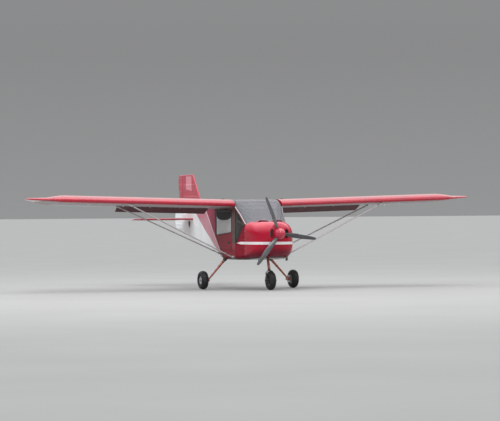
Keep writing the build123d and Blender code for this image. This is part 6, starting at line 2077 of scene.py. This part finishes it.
# ------------------------------------------------------------------ small outside fittings
bag = Bag()
for sg in (1, -1):
    # fuel fillers on the wing roots, drains and inspection rings below
    y, u = sg * 0.670, 0.27
    nrm = (wing_place(y, u, up_v(u) + 0.01) - wing_place(y, u, up_v(u))).normalized()
    c = wing_place(y, u, up_v(u)) - nrm * 0.001
    bag.put(*lathe(c, nrm, [(0, 0.044), (0.002, 0.044), (0.0035, 0.041), (0.004, 0.033), (0.0045, 0.0325), (0.010, 0.0315), (0.0125, 0.028), (0.013, 0.010)], 32), 1)
    bag.put(*block(c + nrm * 0.0155, (0.046, 0.007, 0.006), 0.002, (tuple(Vector((0, 1, 0)).cross(nrm)), (0, 1, 0), tuple(nrm))), 1)
    for yy, uu in ((1.60, 0.50), (2.62, 0.50), (3.55, 0.50), (1.00, 0.30)):
        p = wing_place(sg * yy, uu, low_v(uu) + sag_low(uu) * 0.9)
        nrm = (wing_place(sg * yy, uu, 0.0) - wing_place(sg * yy, uu, 0.01)).normalized()
        bag.put(*lathe(p + nrm * -0.0015, nrm, [(0, 0.050), (0.0025, 0.050), (0.0038, 0.046), (0.0030, 0.040), (0.0032, 0.010)], 36), 2)
    p = wing_place(sg * 0.80, 0.30, low_v(0.30))
    bag.put(*lathe(p + Vector((0, 0, 0.002)), (0, 0, -1), [(0, 0.010), (0.004, 0.010), (0.005, 0.006), (0.016, 0.0055), (0.018, 0.003)], 16), 0)
# whip stub under the belly
bag.put(*lathe((DX - 0.330, 0.120, 0.630), (0, 0, -1), [(0, 0.026), (0.004, 0.026), (0.007, 0.018), (0.012, 0.0085), (0.050, 0.0065), (0.060, 0.0062), (0.063, 0.003)], 24), 1)
bag.make("outside_fittings", "airframe", ["plated", "seal", "sheet"], "fitting", 40)

# clamp and rolled end on the exhaust stub
bag = Bag()
bag.put(*turned((DX + 0.780, 0.315, 0.6155), (0, 0, 1), [(-0.0015, 0.0208), (-0.0028, 0.0230), (-0.0015, 0.0262), (0.006, 0.0264), (0.007, 0.0250), (0.007, 0.0208)], 32))
bag.put(*turned((DX + 0.780, 0.315, 0.690), (0, 0, 1), [(-0.007, 0.0248), (-0.007, 0.0278), (0.007, 0.0278), (0.007, 0.0248)], 32))
bag.make("exhaust_end", "airframe", ["exhaust"], "exhaust_steel", 40)

# hinge brackets under the flaps and ailerons
bag = Bag()
for sg in (1, -1):
    for y in (1.43, 2.10, 3.15, 3.87):
        a = wing_place(sg * y, 0.690, low_v(0.690))
        b = wing_place(sg * y, 0.735, low_v(0.735) - 0.006)
        bag.put(*block((a + b) / 2 + Vector((0.012, 0, -0.003)), (0.080, 0.005, 0.014), 0.0015), 0)
bag.make("hinge_brackets", "airframe", ["sheet"], "fitting", 40)

# ------------------------------------------------------------------ stage, light and camera


def stage():
    s = 700.0
    bag = Bag().put([(-s, -s, 0), (s, -s, 0), (s, s, 0), (-s, s, 0)], [[0, 1, 2, 3]])
    floor = bag.make("studio_floor", None, [], None)
    k = Mat("studio_floor_paint", (0.34, 0.34, 0.34), 0.7)
    k.color(k.mix(k.span(k.noise(0.35, 4.0), 0.3, 0.7), (0.335, 0.335, 0.33), (0.36, 0.36, 0.355)))
    floor.data.materials.append(k.m)
    w = bpy.data.worlds.new("studio")
    scene.world = w
    w.use_nodes = True
    t = w.node_tree
    t.nodes.clear()
    out, bg = t.nodes.new("ShaderNodeOutputWorld"), t.nodes.new("ShaderNodeBackground")
    tc, sep = t.nodes.new("ShaderNodeTexCoord"), t.nodes.new("ShaderNodeSeparateXYZ")
    ramp = t.nodes.new("ShaderNodeValToRGB")
    t.links.new(tc.outputs["Generated"], sep.inputs[0])
    t.links.new(sep.outputs[2], ramp.inputs[0])
    ramp.color_ramp.elements[0].position, ramp.color_ramp.elements[0].color = 0.0, (0.50, 0.505, 0.51, 1)
    for at, grey in ((0.06, 0.42), (0.11, 0.46), (0.17, 1.00), (0.35, 1.80)):
        e = ramp.color_ramp.elements.new(at)
        e.color = (grey, grey * 1.01, grey * 1.02, 1)
    ramp.color_ramp.elements[-1].position, ramp.color_ramp.elements[-1].color = 0.80, (2.30, 2.33, 2.37, 1)
    t.links.new(ramp.outputs[0], bg.inputs[0])
    bg.inputs[1].default_value = 0.60
    t.links.new(bg.outputs[0], out.inputs[0])
    # columns: name, place, aim, size, power
    for name, at, aim, size, power in (
        ("key_softbox", (11, -8, 13), (1.5, 0, 1.0), 5.0, 700.0),
        ("top_softbox", (1, 1, 17), (0.5, 0, 1.0), 16.0, 900.0),
        ("fill_softbox", (17, 10, 7), (1.5, 0, 1.2), 8.0, 250.0),
    ):
        l = bpy.data.lights.new(name, "AREA")
        l.shape, l.size, l.energy = "DISK", size, power
        o = bpy.data.objects.new(name, l)
        scene.collection.objects.link(o)
        o.location = at
        o.rotation_mode = "QUATERNION"
        o.rotation_quaternion = (Vector(aim) - Vector(at)).to_track_quat("-Z", "Y")


def camera():
    psi, dist, height = rad(21.5), 57.0, 1.63
    cam = bpy.data.cameras.new("camera")
    ob = bpy.data.objects.new("camera", cam)
    scene.collection.objects.link(ob)
    scene.camera = ob
    cam.sensor_width, cam.sensor_fit = 36.0, "HORIZONTAL"
    focal_px = 47.4 * dist
    cam.lens = focal_px * 36.0 / 500.0
    look = Vector((-math.cos(psi), math.sin(psi), 0.0))
    ob.location = Vector((DX, 0, 0)) - look * dist + Vector((0, 0, height))
    # the reference point (f = 0) stands at x 258.6 px and the horizon at y 212 px of 500 by 421
    right = look.cross(Vector((0, 0, 1)))
    yaw = math.atan((258.6 - 250.0) / focal_px)
    pitch = math.atan((212.0 - 210.5) / focal_px)
    d = (look - right * math.tan(yaw) + Vector((0, 0, math.tan(pitch)))).normalized()
    q = d.to_track_quat("-Z", "Y")
    roll = rad(0.40)
    ob.rotation_mode = "QUATERNION"
    ob.rotation_quaternion = q @ Quaternion((0, 0, 1), -roll)
    cam.clip_start, cam.clip_end = 1.0, 3000.0
    cam.dof.use_dof = False


stage()
camera()
scene.view_settings.view_transform = "Standard"
scene.view_settings.look = "None"
scene.view_settings.exposure = 0.0
scene.view_settings.gamma = 1.0
